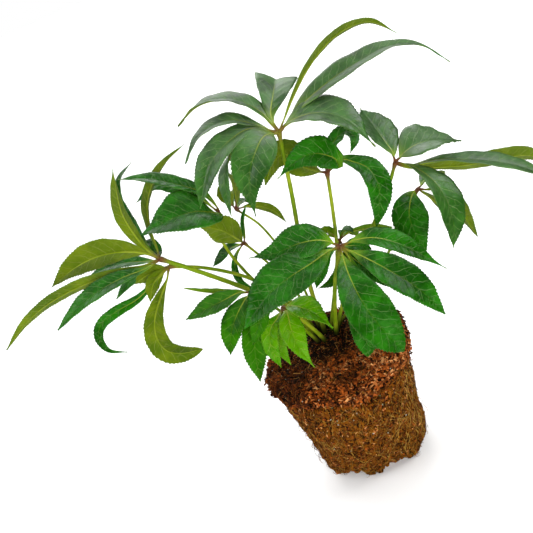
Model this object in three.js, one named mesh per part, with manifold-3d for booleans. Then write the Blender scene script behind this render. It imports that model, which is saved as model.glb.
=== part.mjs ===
// A young hellebore lifted out of its nursery pot: a root ball that stands on its flat base,
// thirteen palmate leaves on slim petioles that rise from one crown, and toothed, folded leaflets.
// Millimetres, +Z up, origin at the centre of the root ball's base, front towards -Y.

import * as THREE from "three";
import { mergeVertices } from "three/addons/utils/BufferGeometryUtils.js";
import Module from "manifold-3d";

const wasm = await Module();
wasm.setup();

// ---------------------------------------------------------------- driving dimensions

const BALL_HEIGHT = 106; // root ball, base to the edge of its top
const BALL_LIP_RADIUS = 57.5; // the wider band that sat under the pot's rim
const BALL_WAIST_RADIUS = 54; // just under that band
const BALL_BASE_RADIUS = 43; // where the wall meets the rounded bottom corner
const BALL_FLAT_RADIUS = 39; // the flat that it stands on
const BALL_SWAY = -4.5; // how far the block's top has slumped to one side of its base
const BALL_SIDES = 36; // facets round the wall
const BALL_ROUGHNESS = 2; // how far lumps of fibre stand in or out of the wall
const LIP_DROOP = 3; // how unevenly the lower edge of the lip runs round
const MOUND_HEIGHT = 7; // soil heaped round the crown, above the edge of the top

const CROWN = new THREE.Vector2(-4, 11); // where the petioles come up, seen from above
const PETIOLE_DEPTH = 16; // how deep a petiole stands in the soil
const PETIOLE_SIDES = 7;
const PETIOLE_STEPS = 9;
const FIT_GAP = 0.35; // air between a petiole and its hole, or between a petiole and its knot

const KNOT_LENGTH = 6; // the knot on top of a petiole, where its leaflets join
const KNOT_RADIUS = 2.3;
const KNOT_SIDES = 7;

const BLADE_THICKNESS = 0.8;
const STALK_SHARE = 0.08; // the bare stalk's share of a leaflet's length
const STALK_WIDTH = 2.2;
const STALK_THICKNESS = 1.6;
const RIB_DEPTH = 0.7; // how far the midrib stands out under the blade, at its foot
const WIDEST_AT = 0.5; // where a blade is widest, as a share of its length
const WIDE_TIP_AT = 0.6; // the same for a spoon-shaped leaflet
const WIDE_FOOT_AT = 0.39; // the same for an egg-shaped leaflet
const FOOT_FULLNESS = 1.2; // over 1 draws the blade's foot in, and under 1 rounds it
const FOLD = THREE.MathUtils.degToRad(13); // each half rises this much from the midrib
const WAVE = 0.035; // ripple of the margin, as a share of the blade's width
const NOTCH_DEPTH = 0.11; // notches between the teeth, as a share of the half width
const TOOTH_LEAN = 0.3; // how far teeth point forward, in steps
const STEP_LENGTH = 10; // length of blade for each step, which is half a tooth and its notch
const FEWEST_STEPS = 6;
const MOST_STEPS = 10;
const TIP_WIDTH = 0.7;

// ---------------------------------------------------------------- the drawing board
//
// The plant is laid out on a sloping drawing board. The board stands up through the middle of the
// root ball's top, leans back and is turned, and it is looked at by an eye in front of it. Places
// are [across, up, toward]: millimetres on the board from its centre, then millimetres from the
// board towards the eye. A place nearer than the board shrinks towards its centre, as it would
// for that eye.

const BOARD_LEAN = THREE.MathUtils.degToRad(28);
const BOARD_TURN = THREE.MathUtils.degToRad(22);
const EYE_DISTANCE = 800;
const TOP_ON_BOARD = [57, -63]; // where the middle of the ball's top lies on the board

const upright = new THREE.Vector3(0, Math.sin(BOARD_LEAN), Math.cos(BOARD_LEAN));
const TOWARD = new THREE.Vector3(0, -Math.cos(BOARD_LEAN), Math.sin(BOARD_LEAN));
const ACROSS = new THREE.Vector3(Math.cos(BOARD_TURN), 0, 0).addScaledVector(
  upright,
  -Math.sin(BOARD_TURN),
);
const UP = new THREE.Vector3(Math.sin(BOARD_TURN), 0, 0).addScaledVector(
  upright,
  Math.cos(BOARD_TURN),
);

/** A direction given as [across, up, toward] in the part's frame. */
function heading([across, up, toward]) {
  return new THREE.Vector3()
    .addScaledVector(ACROSS, across)
    .addScaledVector(UP, up)
    .addScaledVector(TOWARD, toward);
}

/** A place on or before the board in the part's frame. */
function place([across, up, toward]) {
  const shrink = 1 - toward / EYE_DISTANCE;
  const [topAcross, topUp] = TOP_ON_BOARD;
  const offset = heading([across * shrink - topAcross, up * shrink - topUp, toward]);
  return offset.add(new THREE.Vector3(0, 0, BALL_HEIGHT));
}

// ---------------------------------------------------------------- the leaves
//
// hub is where the petiole meets the leaflets. via are places that the petiole passes, and foot is
// where it leaves the crown, in millimetres from the crown's middle. A leaflet has its blade's
// width, the way its upper face looks at its foot and at its tip, and the places that its midrib
// passes from the hub to the tip. There, toward is counted from the hub's own.

const leaflet = (width, footFace, tipFace, ...rib) => ({
  width, footFace, tipFace, rib, widestAt: WIDEST_AT,
});
const spoon = (...facts) => ({ ...leaflet(...facts), widestAt: WIDE_TIP_AT });
const egg = (...facts) => ({ ...leaflet(...facts), widestAt: WIDE_FOOT_AT });

const LEAVES = {
  top: {
    hub: [10, 107, 75],
    via: [[19.8, 60, 56], [32, -5, 22]],
    foot: [-1.2, 3.2],
    radius: 1.7,
    leaflets: [
      leaflet(12, [-0.8, 0.5, -0.3], [0.2, 0.9, -0.4],
        [20, 134, -3], [37, 165, -10], [58, 187, -18], [82, 196, -26], [104, 187, -34]),
      egg(26, [-0.6, 0.5, 0.7], [0.4, 0.9, 0.25],
        [27, 128, -4], [50, 148, -6], [72, 163, -9], [98, 176, -13], [124, 177, -18], [147, 164, -24]),
      spoon(33, [0, 0.35, 0.94], [0.1, 0.75, -0.65],
        [3.5, 121, -4], [5, 136, -12], [7, 147, -26], [8, 149, -45], [9, 138, -66]),
      egg(26, [0.3, 0.85, 0.5], [-0.6, 0.75, 0.2],
        [-4, 123, -3], [-22, 132, -5], [-41, 133, -8], [-57, 127, -12], [-71, 112, -18]),
      leaflet(19, [0.1, 0.85, 0.55], [-0.9, 0.3, 0.35],
        [-10, 113.5, 3], [-28, 117, 5], [-45, 111, 5], [-57, 100, 3], [-65, 82, 0]),
      leaflet(24, [-0.2, 0.7, 0.65], [-0.5, 0.2, 0.85],
        [-13, 110, 8], [-28.5, 101.5, 14], [-41, 88.5, 17], [-48, 73, 17], [-53, 46, 14]),
      egg(32, [0, 0.62, 0.78], [-0.1, 0.25, 0.96],
        [-2, 104, 14], [-9, 91, 22], [-13.5, 75, 25], [-13, 59, 23], [-8.5, 40, 18]),
      egg(37, [-0.2, 0.87, 0.5], [0.45, 0.45, 0.75],
        [18, 115.5, 2], [34, 122, 5], [52, 122, 9], [70, 113.5, 12], [87, 95.5, 12]),
      leaflet(13, [-0.4, 0.5, -0.75], [-0.45, 0.1, 0.9],
        [-8, 107, -4], [-20, 100, -8], [-30, 86, -10], [-33.5, 70, -8], [-31, 54, -6], [-28, 40, -4]),
    ],
  },
  middle: {
    hub: [48.5, 75, 62],
    via: [[53, 45, 50], [56.5, 10, 28]],
    foot: [3.5, 1.8],
    radius: 1.45,
    leaflets: [
      egg(28, [0.1, 0.5, 0.86], [-0.5, 0.15, 0.85],
        [56, 84, 8], [48, 89, 16], [36, 90, 20], [23, 84, 22], [9, 70, 20]),
      leaflet(21, [0.1, 0.75, 0.65], [0.15, 0.05, 0.98],
        [58, 85, 2], [70, 83.5, 4], [82, 78, 9], [89.5, 65, 13], [90.5, 50, 12], [88, 31, 8]),
      leaflet(13, [-0.5, 0.8, 0.2], [0.4, 0.2, 0.9],
        [50, 92, -6], [57, 104, -9], [65, 108, -6], [70, 102, 0], [67, 90.5, 4]),
      leaflet(24, [0, 0.6, -0.8], [-0.5, 0.2, -0.85],
        [40, 77, -9], [28, 81, -18], [15, 90, -25], [5, 83, -27], [-1, 65, -27]),
      leaflet(14, [0.2, 0.7, 0.65], [0, 0.8, 0.4],
        [46, 83, -8], [41, 94, -16], [32, 98, -24], [20, 93, -34]),
    ],
  },
  right: {
    hub: [103, 83, 50],
    via: [[98, 65, 44], [84, 30, 32], [66, -12, 12]],
    foot: [8, 1],
    radius: 1.5,
    leaflets: [
      leaflet(33, [0.4, 0.45, 0.8], [0.45, 0.4, 0.75],
        [101, 91, 0], [94, 101, -4], [87, 111, -9], [75, 126, -18]),
      egg(44, [-0.3, 0.65, 0.7], [0, 0.9, 0.4],
        [107, 88, 2], [117, 96, 4], [129, 100.5, 3], [143, 101.5, -2], [156, 101, -9]),
      spoon(26, [-0.2, 0.88, 0.45], [0.3, 0.8, 0.5],
        [114, 81, 3], [140, 85.5, 7], [165, 85, 9], [190, 82, 8], [213, 76, 5], [236, 64, 1]),
      spoon(18, [-0.2, 0.8, -0.55], [0.2, 0.75, -0.65],
        [113, 79.5, -6], [138, 80, -14], [163, 82, -20], [188, 87, -25], [211, 89, -29], [232, 81, -34]),
      leaflet(28, [0.3, 0.83, 0.47], [0.35, 0.25, 0.9],
        [112, 82, 6], [125, 75.5, 13], [136, 66, 18], [144.5, 52, 20], [149.5, 34, 18], [149.6, 15, 14]),
    ],
  },
  right_rear: {
    hub: [121, 62, 18],
    via: [[112, 42, 20], [98, 12, 18], [75, -22, 6]],
    foot: [10, 6],
    radius: 1.2,
    leaflets: [
      leaflet(29, [0, 0.2, 0.98], [0, 0, 1],
        [117, 58.5, 6], [114.5, 49, 13], [114.5, 39, 17], [119, 27, 18], [128, 13, 16]),
      leaflet(18, [0.1, 0.85, 0.5], [0.75, 0.2, -0.65],
        [129, 62, 2], [141, 63, 3], [150.5, 56, 3], [157, 42, 1], [169, 24, -3]),
      leaflet(17, [-0.3, 0.85, 0.2], [0.2, 0.85, -0.3],
        [124, 66, -5], [129, 72, -16], [135, 74, -30], [142, 68, -46]),
      leaflet(16, [0.5, 0.6, -0.3], [0.8, 0.3, -0.4],
        [125, 60, -6], [133, 54, -18], [142, 44, -28], [149, 29, -34]),
    ],
  },
  front: {
    hub: [59, 16, 85],
    via: [[56, -2, 74], [54.5, -25, 46]],
    foot: [6, -5],
    radius: 1.7,
    leaflets: [
      egg(29, [0.1, 0.55, 0.83], [-0.2, 0.4, 0.9],
        [51, 19.5, 3], [40, 21, 6], [25, 18, 8], [8, 11, 8], [-14, 6.5, 5]),
      leaflet(34, [-0.1, 0.45, 0.88], [-0.45, 0.2, 0.87],
        [51, 13, 6], [35, 2, 16], [18, -9, 22], [1, -23, 23], [-18, -50, 18]),
      spoon(34, [0, 0.45, 0.9], [0.2, 0.1, 0.98],
        [61, 8, 8], [66, -7, 19], [76, -27, 27], [91, -48, 29], [110, -67.5, 26]),
      leaflet(26, [0.1, 0.5, 0.86], [0.3, 0.2, 0.93],
        [68, 12, 6], [85, 4, 13], [103, -6, 17], [122, -18, 17], [143, -38, 13]),
      egg(20, [0, 0.6, 0.8], [0.3, 0.45, 0.85],
        [69, 20.5, 2], [86, 23, 2], [104, 19, 0], [122, 10.5, -3], [144, -1.5, -8]),
      leaflet(14, [0.2, 0.4, 0.9], [0.4, 0.2, 0.9],
        [66, 9, -3], [78, 0, -5], [89, -8, -8], [100, -17, -12]),
      leaflet(13, [0, 0.5, 0.86], [0.2, 0.4, 0.9],
        [66, 16.5, -4], [75, 16.5, -9], [84, 14, -15]),
      leaflet(13, [-0.3, 0.2, 0.9], [-0.3, 0.1, 0.95],
        [49, 11, 5], [44, 1, 3], [40, -17, -4]),
      spoon(25, [0.2, 0.2, 0.95], [0.1, 0.1, 1],
        [66, 7, 2], [72, -15, 6], [78, -43, 8], [81, -72, 5]),
    ],
  },
  left: {
    hub: [-85, 6, 60],
    via: [[-60, -2, 57], [-13, -19, 40], [22, -36, 14]],
    foot: [-9, -1],
    radius: 1.8,
    leaflets: [
      leaflet(13, [-0.5, 0.3, -0.8], [-0.8, 0.1, -0.5],
        [-94.5, 12, 1], [-106.5, 26, 2], [-116, 42, 0], [-120.5, 60, -5], [-123, 78, -11]),
      leaflet(14, [-0.6, 0.3, 0.6], [-0.8, 0.4, 0.5],
        [-94, 14, -8], [-106, 30, -20], [-117, 49, -31], [-118, 69, -38], [-108, 84, -43]),
      leaflet(26, [0, 0.6, -0.8], [-0.3, 0.6, -0.75],
        [-98, 11, 1], [-116, 12, 0], [-136, 8, -3], [-155, -2, -6], [-172, -17, -11]),
      leaflet(13, [0, 0.75, -0.6], [-0.5, 0.6, -0.55],
        [-98, 1, 4], [-124, -6, 8], [-150, -16, 9], [-175, -30, 7], [-194, -47, 3], [-208, -67, -3]),
      leaflet(18, [-0.1, 0.7, 0.6], [-0.4, 0.5, 0.75],
        [-97, -2, 9], [-115, -9, 15], [-133, -19, 19], [-151, -33, 20], [-167, -51, 16]),
      leaflet(14, [0, 0.7, 0.65], [-0.3, 0.7, 0.6],
        [-96, 4, -7], [-112, 3, -13], [-127, -1, -18], [-142, -8, -23]),
      leaflet(13, [-0.7, 0.1, -0.5], [-0.6, 0.6, -0.4],
        [-88, 14, -9], [-94, 32, -22], [-96, 50, -32], [-91, 68, -40], [-81, 84, -47], [-66, 98, -54]),
      leaflet(12, [0.1, 0.5, 0.85], [-0.2, 0.6, 0.75],
        [-88, 11, -13], [-94, 18, -20], [-101, 16, -29]),
    ],
  },
  left_low: {
    hub: [-78, 0, 38],
    via: [[-50, -1, 36], [-12, -10, 26], [24, -32, 6]],
    foot: [-10, 4],
    radius: 1.4,
    leaflets: [
      spoon(18, [-0.6, 0, -0.8], [0.1, -0.4, -0.9],
        [-80, -11, 3], [-85, -25, 7], [-89.5, -42, 10], [-88, -57, 12], [-80, -67.5, 12], [-67, -69.5, 10],
        [-51, -66, 6]),
      leaflet(9, [0.2, 0.75, 0.5], [0.1, -0.6, 0.7],
        [-88, -11, 6], [-103, -26, 9], [-120, -36, 12], [-132, -46, 13], [-134, -57, 11], [-126, -67, 7],
        [-111, -68.5, 3]),
      leaflet(15, [-0.2, 0.4, -0.88], [-0.3, 0.3, -0.9],
        [-86, -3, 1], [-96, -7, 2], [-105, -14, 2]),
      leaflet(12, [-0.3, 0.2, -0.9], [-0.3, 0.1, -0.95],
        [-85, -6, 3], [-91, -15, 8], [-93, -28, 10]),
      leaflet(13, [0, 0.6, 0.75], [-0.3, 0.5, 0.8],
        [-87, -1, -8], [-99, -5, -14], [-111, -14, -18], [-120, -26, -20]),
    ],
  },
  upper_left: {
    hub: [-38, 43, 18],
    via: [[-36, 22, 9], [-10, -11, 7], [27, -36, -5]],
    foot: [-7, 8],
    radius: 1.3,
    leaflets: [
      leaflet(18, [0.2, 0.7, 0.7], [-0.1, 0.85, 0.5],
        [-41, 50, 7], [-54, 60, 16], [-73, 66, 20], [-95, 70, 19], [-119, 69.5, 14]),
      egg(43, [0.1, 0.65, 0.75], [-0.45, 0.35, 0.8],
        [-43, 43, 15], [-55, 44, 28], [-70, 40.5, 35], [-87, 32.5, 35], [-104, 23, 29]),
      leaflet(13, [-0.2, 0.8, 0.5], [-0.7, 0.2, 0.7],
        [-48, 51, -2], [-68, 61, -8], [-88, 65, -13], [-104, 51, -17]),
      leaflet(14, [0, 0.6, -0.75], [-0.2, 0.6, -0.7],
        [-45, 42, -5], [-54, 42, -13], [-66, 40, -22]),
    ],
  },
  inner_left: {
    hub: [-18, 19, 4],
    via: [[0, 4, 2], [28, -26, -4]],
    foot: [-3, 9],
    radius: 1.1,
    leaflets: [
      leaflet(24, [0, 0.3, -0.95], [-0.3, 0.4, -0.85],
        [-23, 22, 10], [-33, 28, 19], [-44, 31, 22], [-55, 33, 19]),
      leaflet(9, [-0.9, 0, 0.3], [-0.9, 0.2, 0.3],
        [-18, 27, -3], [-18.5, 37, -5], [-16.5, 49, -4]),
      leaflet(12, [-0.1, 0.6, 0.75], [-0.6, 0.4, 0.7],
        [-24, 16.5, -3], [-31, 13, -9], [-42.5, 0, -16]),
      leaflet(8, [-0.9, 0, 0.45], [-0.3, -0.5, 0.8],
        [-23, 12, 0], [-25, 0, -3], [-20, -12, -8], [-9, -18, -14]),
    ],
  },
  rear_left: {
    hub: [-24.5, 46, -14],
    via: [[-5, 33, -13], [22, -2, -14], [38, -34, -16]],
    foot: [3, 11],
    radius: 1,
    leaflets: [
      leaflet(8, [0, 0.6, -0.8], [0.3, 0.4, -0.85],
        [-14, 48.5, 0], [-4, 48, 0], [6, 44.5, -1], [16, 35.5, -4]),
      leaflet(14, [-0.3, 0.7, -0.6], [-0.5, 0.6, -0.6],
        [-29, 52, -4], [-34, 60, -9], [-38, 68, -18]),
      leaflet(13, [0.3, 0.5, -0.7], [0.1, 0.7, -0.6],
        [-24, 55, -6], [-27, 66, -14], [-32, 76, -25]),
      leaflet(15, [0, 0.85, -0.1], [0, 0.8, -0.6],
        [-21, 51, -12], [-17, 54, -28], [-13, 50, -46]),
    ],
  },
  front_left: {
    hub: [-12, -20.5, 68],
    via: [[13, -37, 46], [30, -50, 20]],
    foot: [-8, -7],
    radius: 1.2,
    leaflets: [
      leaflet(11, [0, 0.95, -0.25], [-0.1, 0.9, -0.4],
        [-21, -20, -2], [-36, -20.6, -6], [-51, -20, -11], [-66, -17.5, -16]),
      leaflet(18, [-0.1, 0.65, 0.75], [-0.5, 0.4, 0.75],
        [-22, -21, 3], [-35, -27.5, 6], [-49, -34.5, 7], [-64.5, -42.5, 5]),
      leaflet(18, [-0.4, 0.3, 0.85], [-0.1, 0.05, 1],
        [-18, -28, 8], [-25, -42, 12], [-28.5, -56, 12], [-28.5, -70.5, 8]),
      leaflet(20, [0, 0.3, 0.95], [0.1, 0.1, 1],
        [-11, -33, 6], [-9.5, -50, 10], [-9, -70, 12], [-5, -92, 9]),
      leaflet(14, [0.3, 0.2, 0.9], [-0.2, 0.1, 0.98],
        [-8, -31, 12], [-5.5, -42, 17], [-8.5, -53, 19], [-11, -63, 19]),
    ],
  },
  front_low: {
    hub: [13, -33, 70],
    via: [[22, -38, 58], [34, -47, 32]],
    foot: [-3, -9],
    radius: 1.5,
    leaflets: [
      egg(22, [0.2, 0.6, 0.75], [0.5, 0.4, 0.75],
        [20, -31.5, 7], [30, -33.5, 12], [41, -39, 14], [53, -49.5, 12]),
      egg(19, [0, 0.4, 0.9], [0.3, 0.1, 0.95],
        [17, -39, 9], [20, -51, 15], [27, -66, 18], [38.5, -80.5, 16]),
      leaflet(13, [-0.4, 0.2, 0.9], [-0.1, 0.1, 0.98],
        [9, -41, 8], [3, -51, 12], [4, -65, 13], [12, -80.5, 10]),
      leaflet(10, [0, 0.2, 0.95], [0.1, 0.1, 0.98],
        [11, -43, -1], [9.5, -55, -3], [13, -68, -4], [19.5, -78.5, -5]),
      leaflet(9, [0, 0.3, 0.95], [0.1, 0.1, 0.98],
        [11, -41, 2], [10, -48, 1], [13, -57, -3]),
    ],
  },
  rear_low: {
    hub: [58, 21, 2],
    via: [[56, 0, 0], [54, -30, -8]],
    foot: [4, 8],
    radius: 1.1,
    leaflets: [
      leaflet(9, [0, 0.6, -0.75], [-0.3, 0.5, -0.75],
        [54, 25, -1], [48, 28.5, -4], [41.5, 26.5, -9]),
      leaflet(8, [0, 0.7, -0.65], [0.2, 0.75, -0.6],
        [65, 27, -3], [76, 30, -9], [89, 31.5, -15], [102, 31.5, -21]),
      leaflet(11, [-0.2, 0.75, 0.5], [0.5, 0.5, 0.7],
        [60, 26, 4], [64, 29.5, 9], [69.5, 27, 14]),
      leaflet(12, [0, 0.4, 0.9], [-0.2, 0.3, 0.9],
        [64, 12, -8], [60, -4, -16], [52, -13, -20], [41.5, -17.5, -22]),
      leaflet(15, [0.3, 0.2, 0.9], [0, 0.1, 1],
        [67, 10, -6], [73, -6, -13], [74, -22, -17], [70, -38, -20]),
      leaflet(14, [0, 0.9, -0.2], [0.2, 0.8, -0.5],
        [61, 26, -9], [66, 28, -24], [73, 24, -41]),
    ],
  },
};

// ---------------------------------------------------------------- solids

/** The closed geometry as a manifold solid. */
function solidOf(geometry) {
  const bare = new THREE.BufferGeometry();
  bare.setAttribute("position", geometry.getAttribute("position").clone());
  bare.setIndex(geometry.getIndex());
  const merged = mergeVertices(bare, 1e-4);
  const mesh = new wasm.Mesh({
    numProp: 3,
    vertProperties: new Float32Array(merged.getAttribute("position").array),
    triVerts: new Uint32Array(merged.getIndex().array),
  });
  return new wasm.Manifold(mesh);
}

/** The manifold solid as a geometry. */
function geometryOf(solid) {
  const { vertProperties, triVerts } = solid.getMesh();
  const geometry = new THREE.BufferGeometry();
  geometry.setAttribute("position", new THREE.Float32BufferAttribute(vertProperties, 3));
  geometry.setIndex(new THREE.BufferAttribute(new Uint32Array(triVerts), 1));
  return geometry;
}

/** One named mesh of the part. */
function piece(name, solid, material) {
  const mesh = new THREE.Mesh(geometryOf(solid), material);
  mesh.geometry.computeVertexNormals();
  mesh.name = name;
  return mesh;
}

// ---------------------------------------------------------------- leaflets

/** Half the blade's width at a share of its length, as a share of the widest. */
function bladeOutline(share, widestAt) {
  const tipFullness = (FOOT_FULLNESS * (1 - widestAt)) / widestAt;
  const foot = (share / widestAt) ** FOOT_FULLNESS;
  const tip = ((1 - share) / (1 - widestAt)) ** tipFullness;
  return foot * tip;
}

/** Where the midrib of a leaflet runs, from its hub to its tip. */
function midribOf(hub, rib) {
  const places = rib.map(([across, up, ahead]) => place([across, up, hub[2] + ahead]));
  return new THREE.CatmullRomCurve3([place(hub), ...places], false, "catmullrom", 0.5);
}

/** A leaflet's midrib, side and upper directions at a share of its length. */
function bladeFrame(curve, spec, share) {
  const along = curve.getTangentAt(share);
  const foot = heading(spec.footFace).normalize();
  const tip = heading(spec.tipFace).normalize();
  const up = foot.lerp(tip, share);
  up.addScaledVector(along, -up.dot(along)).normalize();
  const side = new THREE.Vector3().crossVectors(along, up);
  return { along, side, up };
}

/** One leaflet: a stalk, then a thin folded blade with a toothed margin and a midrib below. */
function leafletSolid(hub, spec, turn) {
  const curve = midribOf(hub, spec.rib);
  const length = curve.getLength();
  const even = 2 * Math.round(length / STEP_LENGTH / 2);
  const steps = THREE.MathUtils.clamp(even, FEWEST_STEPS, MOST_STEPS);
  const positions = [];

  for (let step = -1; step <= steps; step++) {
    const onBlade = Math.max(step, 0) / steps;
    const share = step < 0 ? 0 : STALK_SHARE + (1 - STALK_SHARE) * onBlade;
    const { along, side, up } = bladeFrame(curve, spec, share);
    const middle = curve.getPointAt(share);
    const toothed = step > 0 && step < steps;
    const notch = toothed && step % 2 === 0 ? 1 - NOTCH_DEPTH : 1;
    const lean = !toothed ? 0 : (step % 2 === 0 ? -0.5 : 1) * TOOTH_LEAN * (length / steps);
    const full = (spec.width / 2) * bladeOutline(onBlade, spec.widestAt) * notch;
    const half = Math.max(full, (step <= 0 ? STALK_WIDTH : TIP_WIDTH) / 2);
    const stalk = step <= 0;
    const thickness = stalk ? STALK_THICKNESS : BLADE_THICKNESS;
    const keel = stalk ? 0 : RIB_DEPTH * (1 - onBlade);

    for (const way of [-1, 0, 1]) {
      const ripple = WAVE * spec.width * Math.sin(9 * onBlade + turn + way);
      const lift = way === 0 || stalk ? 0 : half * Math.sin(FOLD) + ripple * onBlade;
      const top = middle.clone().addScaledVector(side, way * half * Math.cos(FOLD));
      top.addScaledVector(up, lift + thickness / 2);
      top.addScaledVector(along, way === 0 ? 0 : lean);
      const under = top.clone().addScaledVector(up, -thickness - (way === 0 ? keel : 0));
      positions.push(...top.toArray(), ...under.toArray());
    }
  }
  return solidOf(bladeGeometry(positions, steps + 2));
}

/** Skins rings of six points (left, middle and right, each above then below) into a closed blade. */
function bladeGeometry(positions, rings) {
  const faces = [];
  const at = (ring, way, below) => ring * 6 + way * 2 + (below ? 1 : 0);
  const quad = (a, b, c, d) => faces.push(a, b, c, a, c, d);
  for (let ring = 0; ring + 1 < rings; ring++) {
    const next = ring + 1;
    for (const way of [0, 1]) {
      const mirrored = way === 1;
      for (const below of [false, true]) {
        const [a, b, c, d] = [
          at(ring, way, below), at(ring, way + 1, below), at(next, way + 1, below), at(next, way, below),
        ];
        const corners = mirrored ? [b, c, d, a] : [a, b, c, d];
        if (below) corners.reverse();
        const [p, q, r, s] = corners;
        if (below) faces.push(p, q, s, q, r, s);
        else faces.push(p, q, r, p, r, s);
      }
    }
    quad(at(ring, 0, true), at(ring, 0, false), at(next, 0, false), at(next, 0, true));
    quad(at(ring, 2, false), at(ring, 2, true), at(next, 2, true), at(next, 2, false));
  }
  const last = rings - 1;
  for (const way of [0, 1]) {
    quad(at(0, way, false), at(0, way, true), at(0, way + 1, true), at(0, way + 1, false));
    quad(at(last, way, true), at(last, way, false), at(last, way + 1, false), at(last, way + 1, true));
  }
  const geometry = new THREE.BufferGeometry();
  geometry.setAttribute("position", new THREE.Float32BufferAttribute(positions, 3));
  geometry.setIndex(faces);
  return geometry;
}

/** The knot on the petiole's end, in line with it, that the leaflets' stalks run into. */
function knotSolid(leaf) {
  const petiole = petioleCurve(leaf);
  const along = petiole.getTangentAt(1);
  const geometry = new THREE.CylinderGeometry(KNOT_RADIUS * 0.8, KNOT_RADIUS, KNOT_LENGTH, KNOT_SIDES);
  const turn = new THREE.Quaternion().setFromUnitVectors(new THREE.Vector3(0, 1, 0), along);
  geometry.applyQuaternion(turn);
  const middle = place(leaf.hub);
  geometry.translate(middle.x, middle.y, middle.z);
  return solidOf(geometry);
}

/** All the leaflets of one leaf, grown together at their knot. */
function leafletsSolid(leaf) {
  const blades = leaf.leaflets.map((spec, index) => leafletSolid(leaf.hub, spec, 2.4 * index));
  return blades.reduce((whole, blade) => whole.add(blade), knotSolid(leaf));
}

// ---------------------------------------------------------------- petioles

/** The line of a petiole, from its buried foot to the underside of its knot. */
function petioleCurve(leaf) {
  const [x, y] = leaf.foot;
  const surface = new THREE.Vector3(CROWN.x + x, CROWN.y + y, BALL_HEIGHT + MOUND_HEIGHT * 0.5);
  const splay = new THREE.Vector3(x, y, 0).multiplyScalar(0.35);
  const buried = surface.clone().sub(splay);
  buried.z -= PETIOLE_DEPTH;
  const knot = place(leaf.hub);
  const last = place(leaf.via[0]);
  const below = knot.clone().add(last.sub(knot).setLength(KNOT_LENGTH / 2 + FIT_GAP));
  const stations = [...leaf.via].reverse().map(place);
  return new THREE.CatmullRomCurve3([buried, surface, ...stations, below], false, "centripetal");
}

/** A round stem along the petiole's line, thicker by the given margin. */
function petioleSolid(leaf, margin = 0) {
  const curve = petioleCurve(leaf);
  const section = new THREE.Shape();
  for (let side = 0; side < PETIOLE_SIDES; side++) {
    const angle = (2 * Math.PI * side) / PETIOLE_SIDES;
    const radius = leaf.radius + margin;
    const [x, y] = [radius * Math.cos(angle), radius * Math.sin(angle)];
    if (side === 0) section.moveTo(x, y);
    else section.lineTo(x, y);
  }
  const geometry = new THREE.ExtrudeGeometry(section, {
    steps: PETIOLE_STEPS,
    extrudePath: curve,
    bevelEnabled: false,
    curveSegments: 1,
  });
  return solidOf(geometry);
}

// ---------------------------------------------------------------- root ball

/** How far the wall of the root ball stands in or out at an angle and a height. */
function lumps(angle, height) {
  const broad = Math.sin(3 * angle + 0.06 * height) + Math.sin(5 * angle - 0.11 * height + 2);
  const fine = Math.sin(11 * angle + 0.3 * height) * Math.sin(0.27 * height + 4 * angle);
  return BALL_ROUGHNESS * (0.45 * broad + 0.7 * fine);
}

/** How far the lower edge of the lip hangs below its mean height at an angle. */
function droop(angle) {
  return LIP_DROOP * (0.7 * Math.sin(2 * angle + 0.6) + 0.6 * Math.sin(5 * angle + 1));
}

/** The root ball's outline, from the middle of its base to the middle of its top. */
function ballProfile() {
  const [base, waist, lip] = [BALL_BASE_RADIUS, BALL_WAIST_RADIUS, BALL_LIP_RADIUS];
  const wall = [
    [0, 0], [BALL_FLAT_RADIUS / 2, 0], [BALL_FLAT_RADIUS, 0], [base, 4], [base + 2, 16],
    [base + 5, 34], [base + 8.5, 52], [waist - 2, 70], [waist, 83], [lip - 3, 88],
    [lip, 93], [lip, 99], [lip - 4, 104], [lip - 10, BALL_HEIGHT],
  ];
  const top = [[38, 1.5], [26, 3], [14, 5.5], [0, MOUND_HEIGHT]];
  return [...wall, ...top.map(([radius, rise]) => [radius, BALL_HEIGHT + rise])];
}

/** The soil and roots that kept the shape of the pot, with plain holes for the petioles. */
function rootBallSolid() {
  const outline = ballProfile().map(([radius, height]) => new THREE.Vector2(radius, height));
  const geometry = new THREE.LatheGeometry(outline, BALL_SIDES);
  const position = geometry.getAttribute("position");
  for (let i = 0; i < position.count; i++) {
    const [x, y, z] = [position.getX(i), position.getY(i), position.getZ(i)];
    const radius = Math.hypot(x, z);
    if (y < 1) continue; // the flat that it stands on stays true
    const angle = Math.atan2(z, x);
    const push = radius > 1 ? lumps(angle, y) * Math.min(1, radius / BALL_WAIST_RADIUS) : 0;
    const onTop = y > BALL_HEIGHT - 1;
    const underLip = y > BALL_HEIGHT * 0.6 && y < BALL_HEIGHT * 0.9;
    const grown = onTop ? 1 : (radius + push) / radius;
    const lift = onTop ? push * 0.8 : underLip ? -droop(angle) : 0;
    const slump = (BALL_SWAY * Math.min(y, BALL_HEIGHT)) / BALL_HEIGHT;
    position.setXYZ(i, x * grown + slump, y + lift, z * grown);
  }
  geometry.rotateX(Math.PI / 2);
  const ball = solidOf(geometry);
  return Object.values(LEAVES).reduce(
    (soil, leaf) => soil.subtract(petioleSolid(leaf, FIT_GAP)),
    ball,
  );
}

// ---------------------------------------------------------------- the plant

const matureLeaf = new THREE.MeshStandardMaterial({ color: 0x1f5a22, roughness: 0.42, metalness: 0 });
const youngLeaf = new THREE.MeshStandardMaterial({ color: 0x4f8a1c, roughness: 0.45, metalness: 0 });
const petioleSkin = new THREE.MeshStandardMaterial({ color: 0x7d9a1e, roughness: 0.5, metalness: 0 });
const soil = new THREE.MeshStandardMaterial({ color: 0x5a3418, roughness: 0.95, metalness: 0 });
const YOUNG = new Set(["front_left", "front_low", "rear_low"]);

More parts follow.
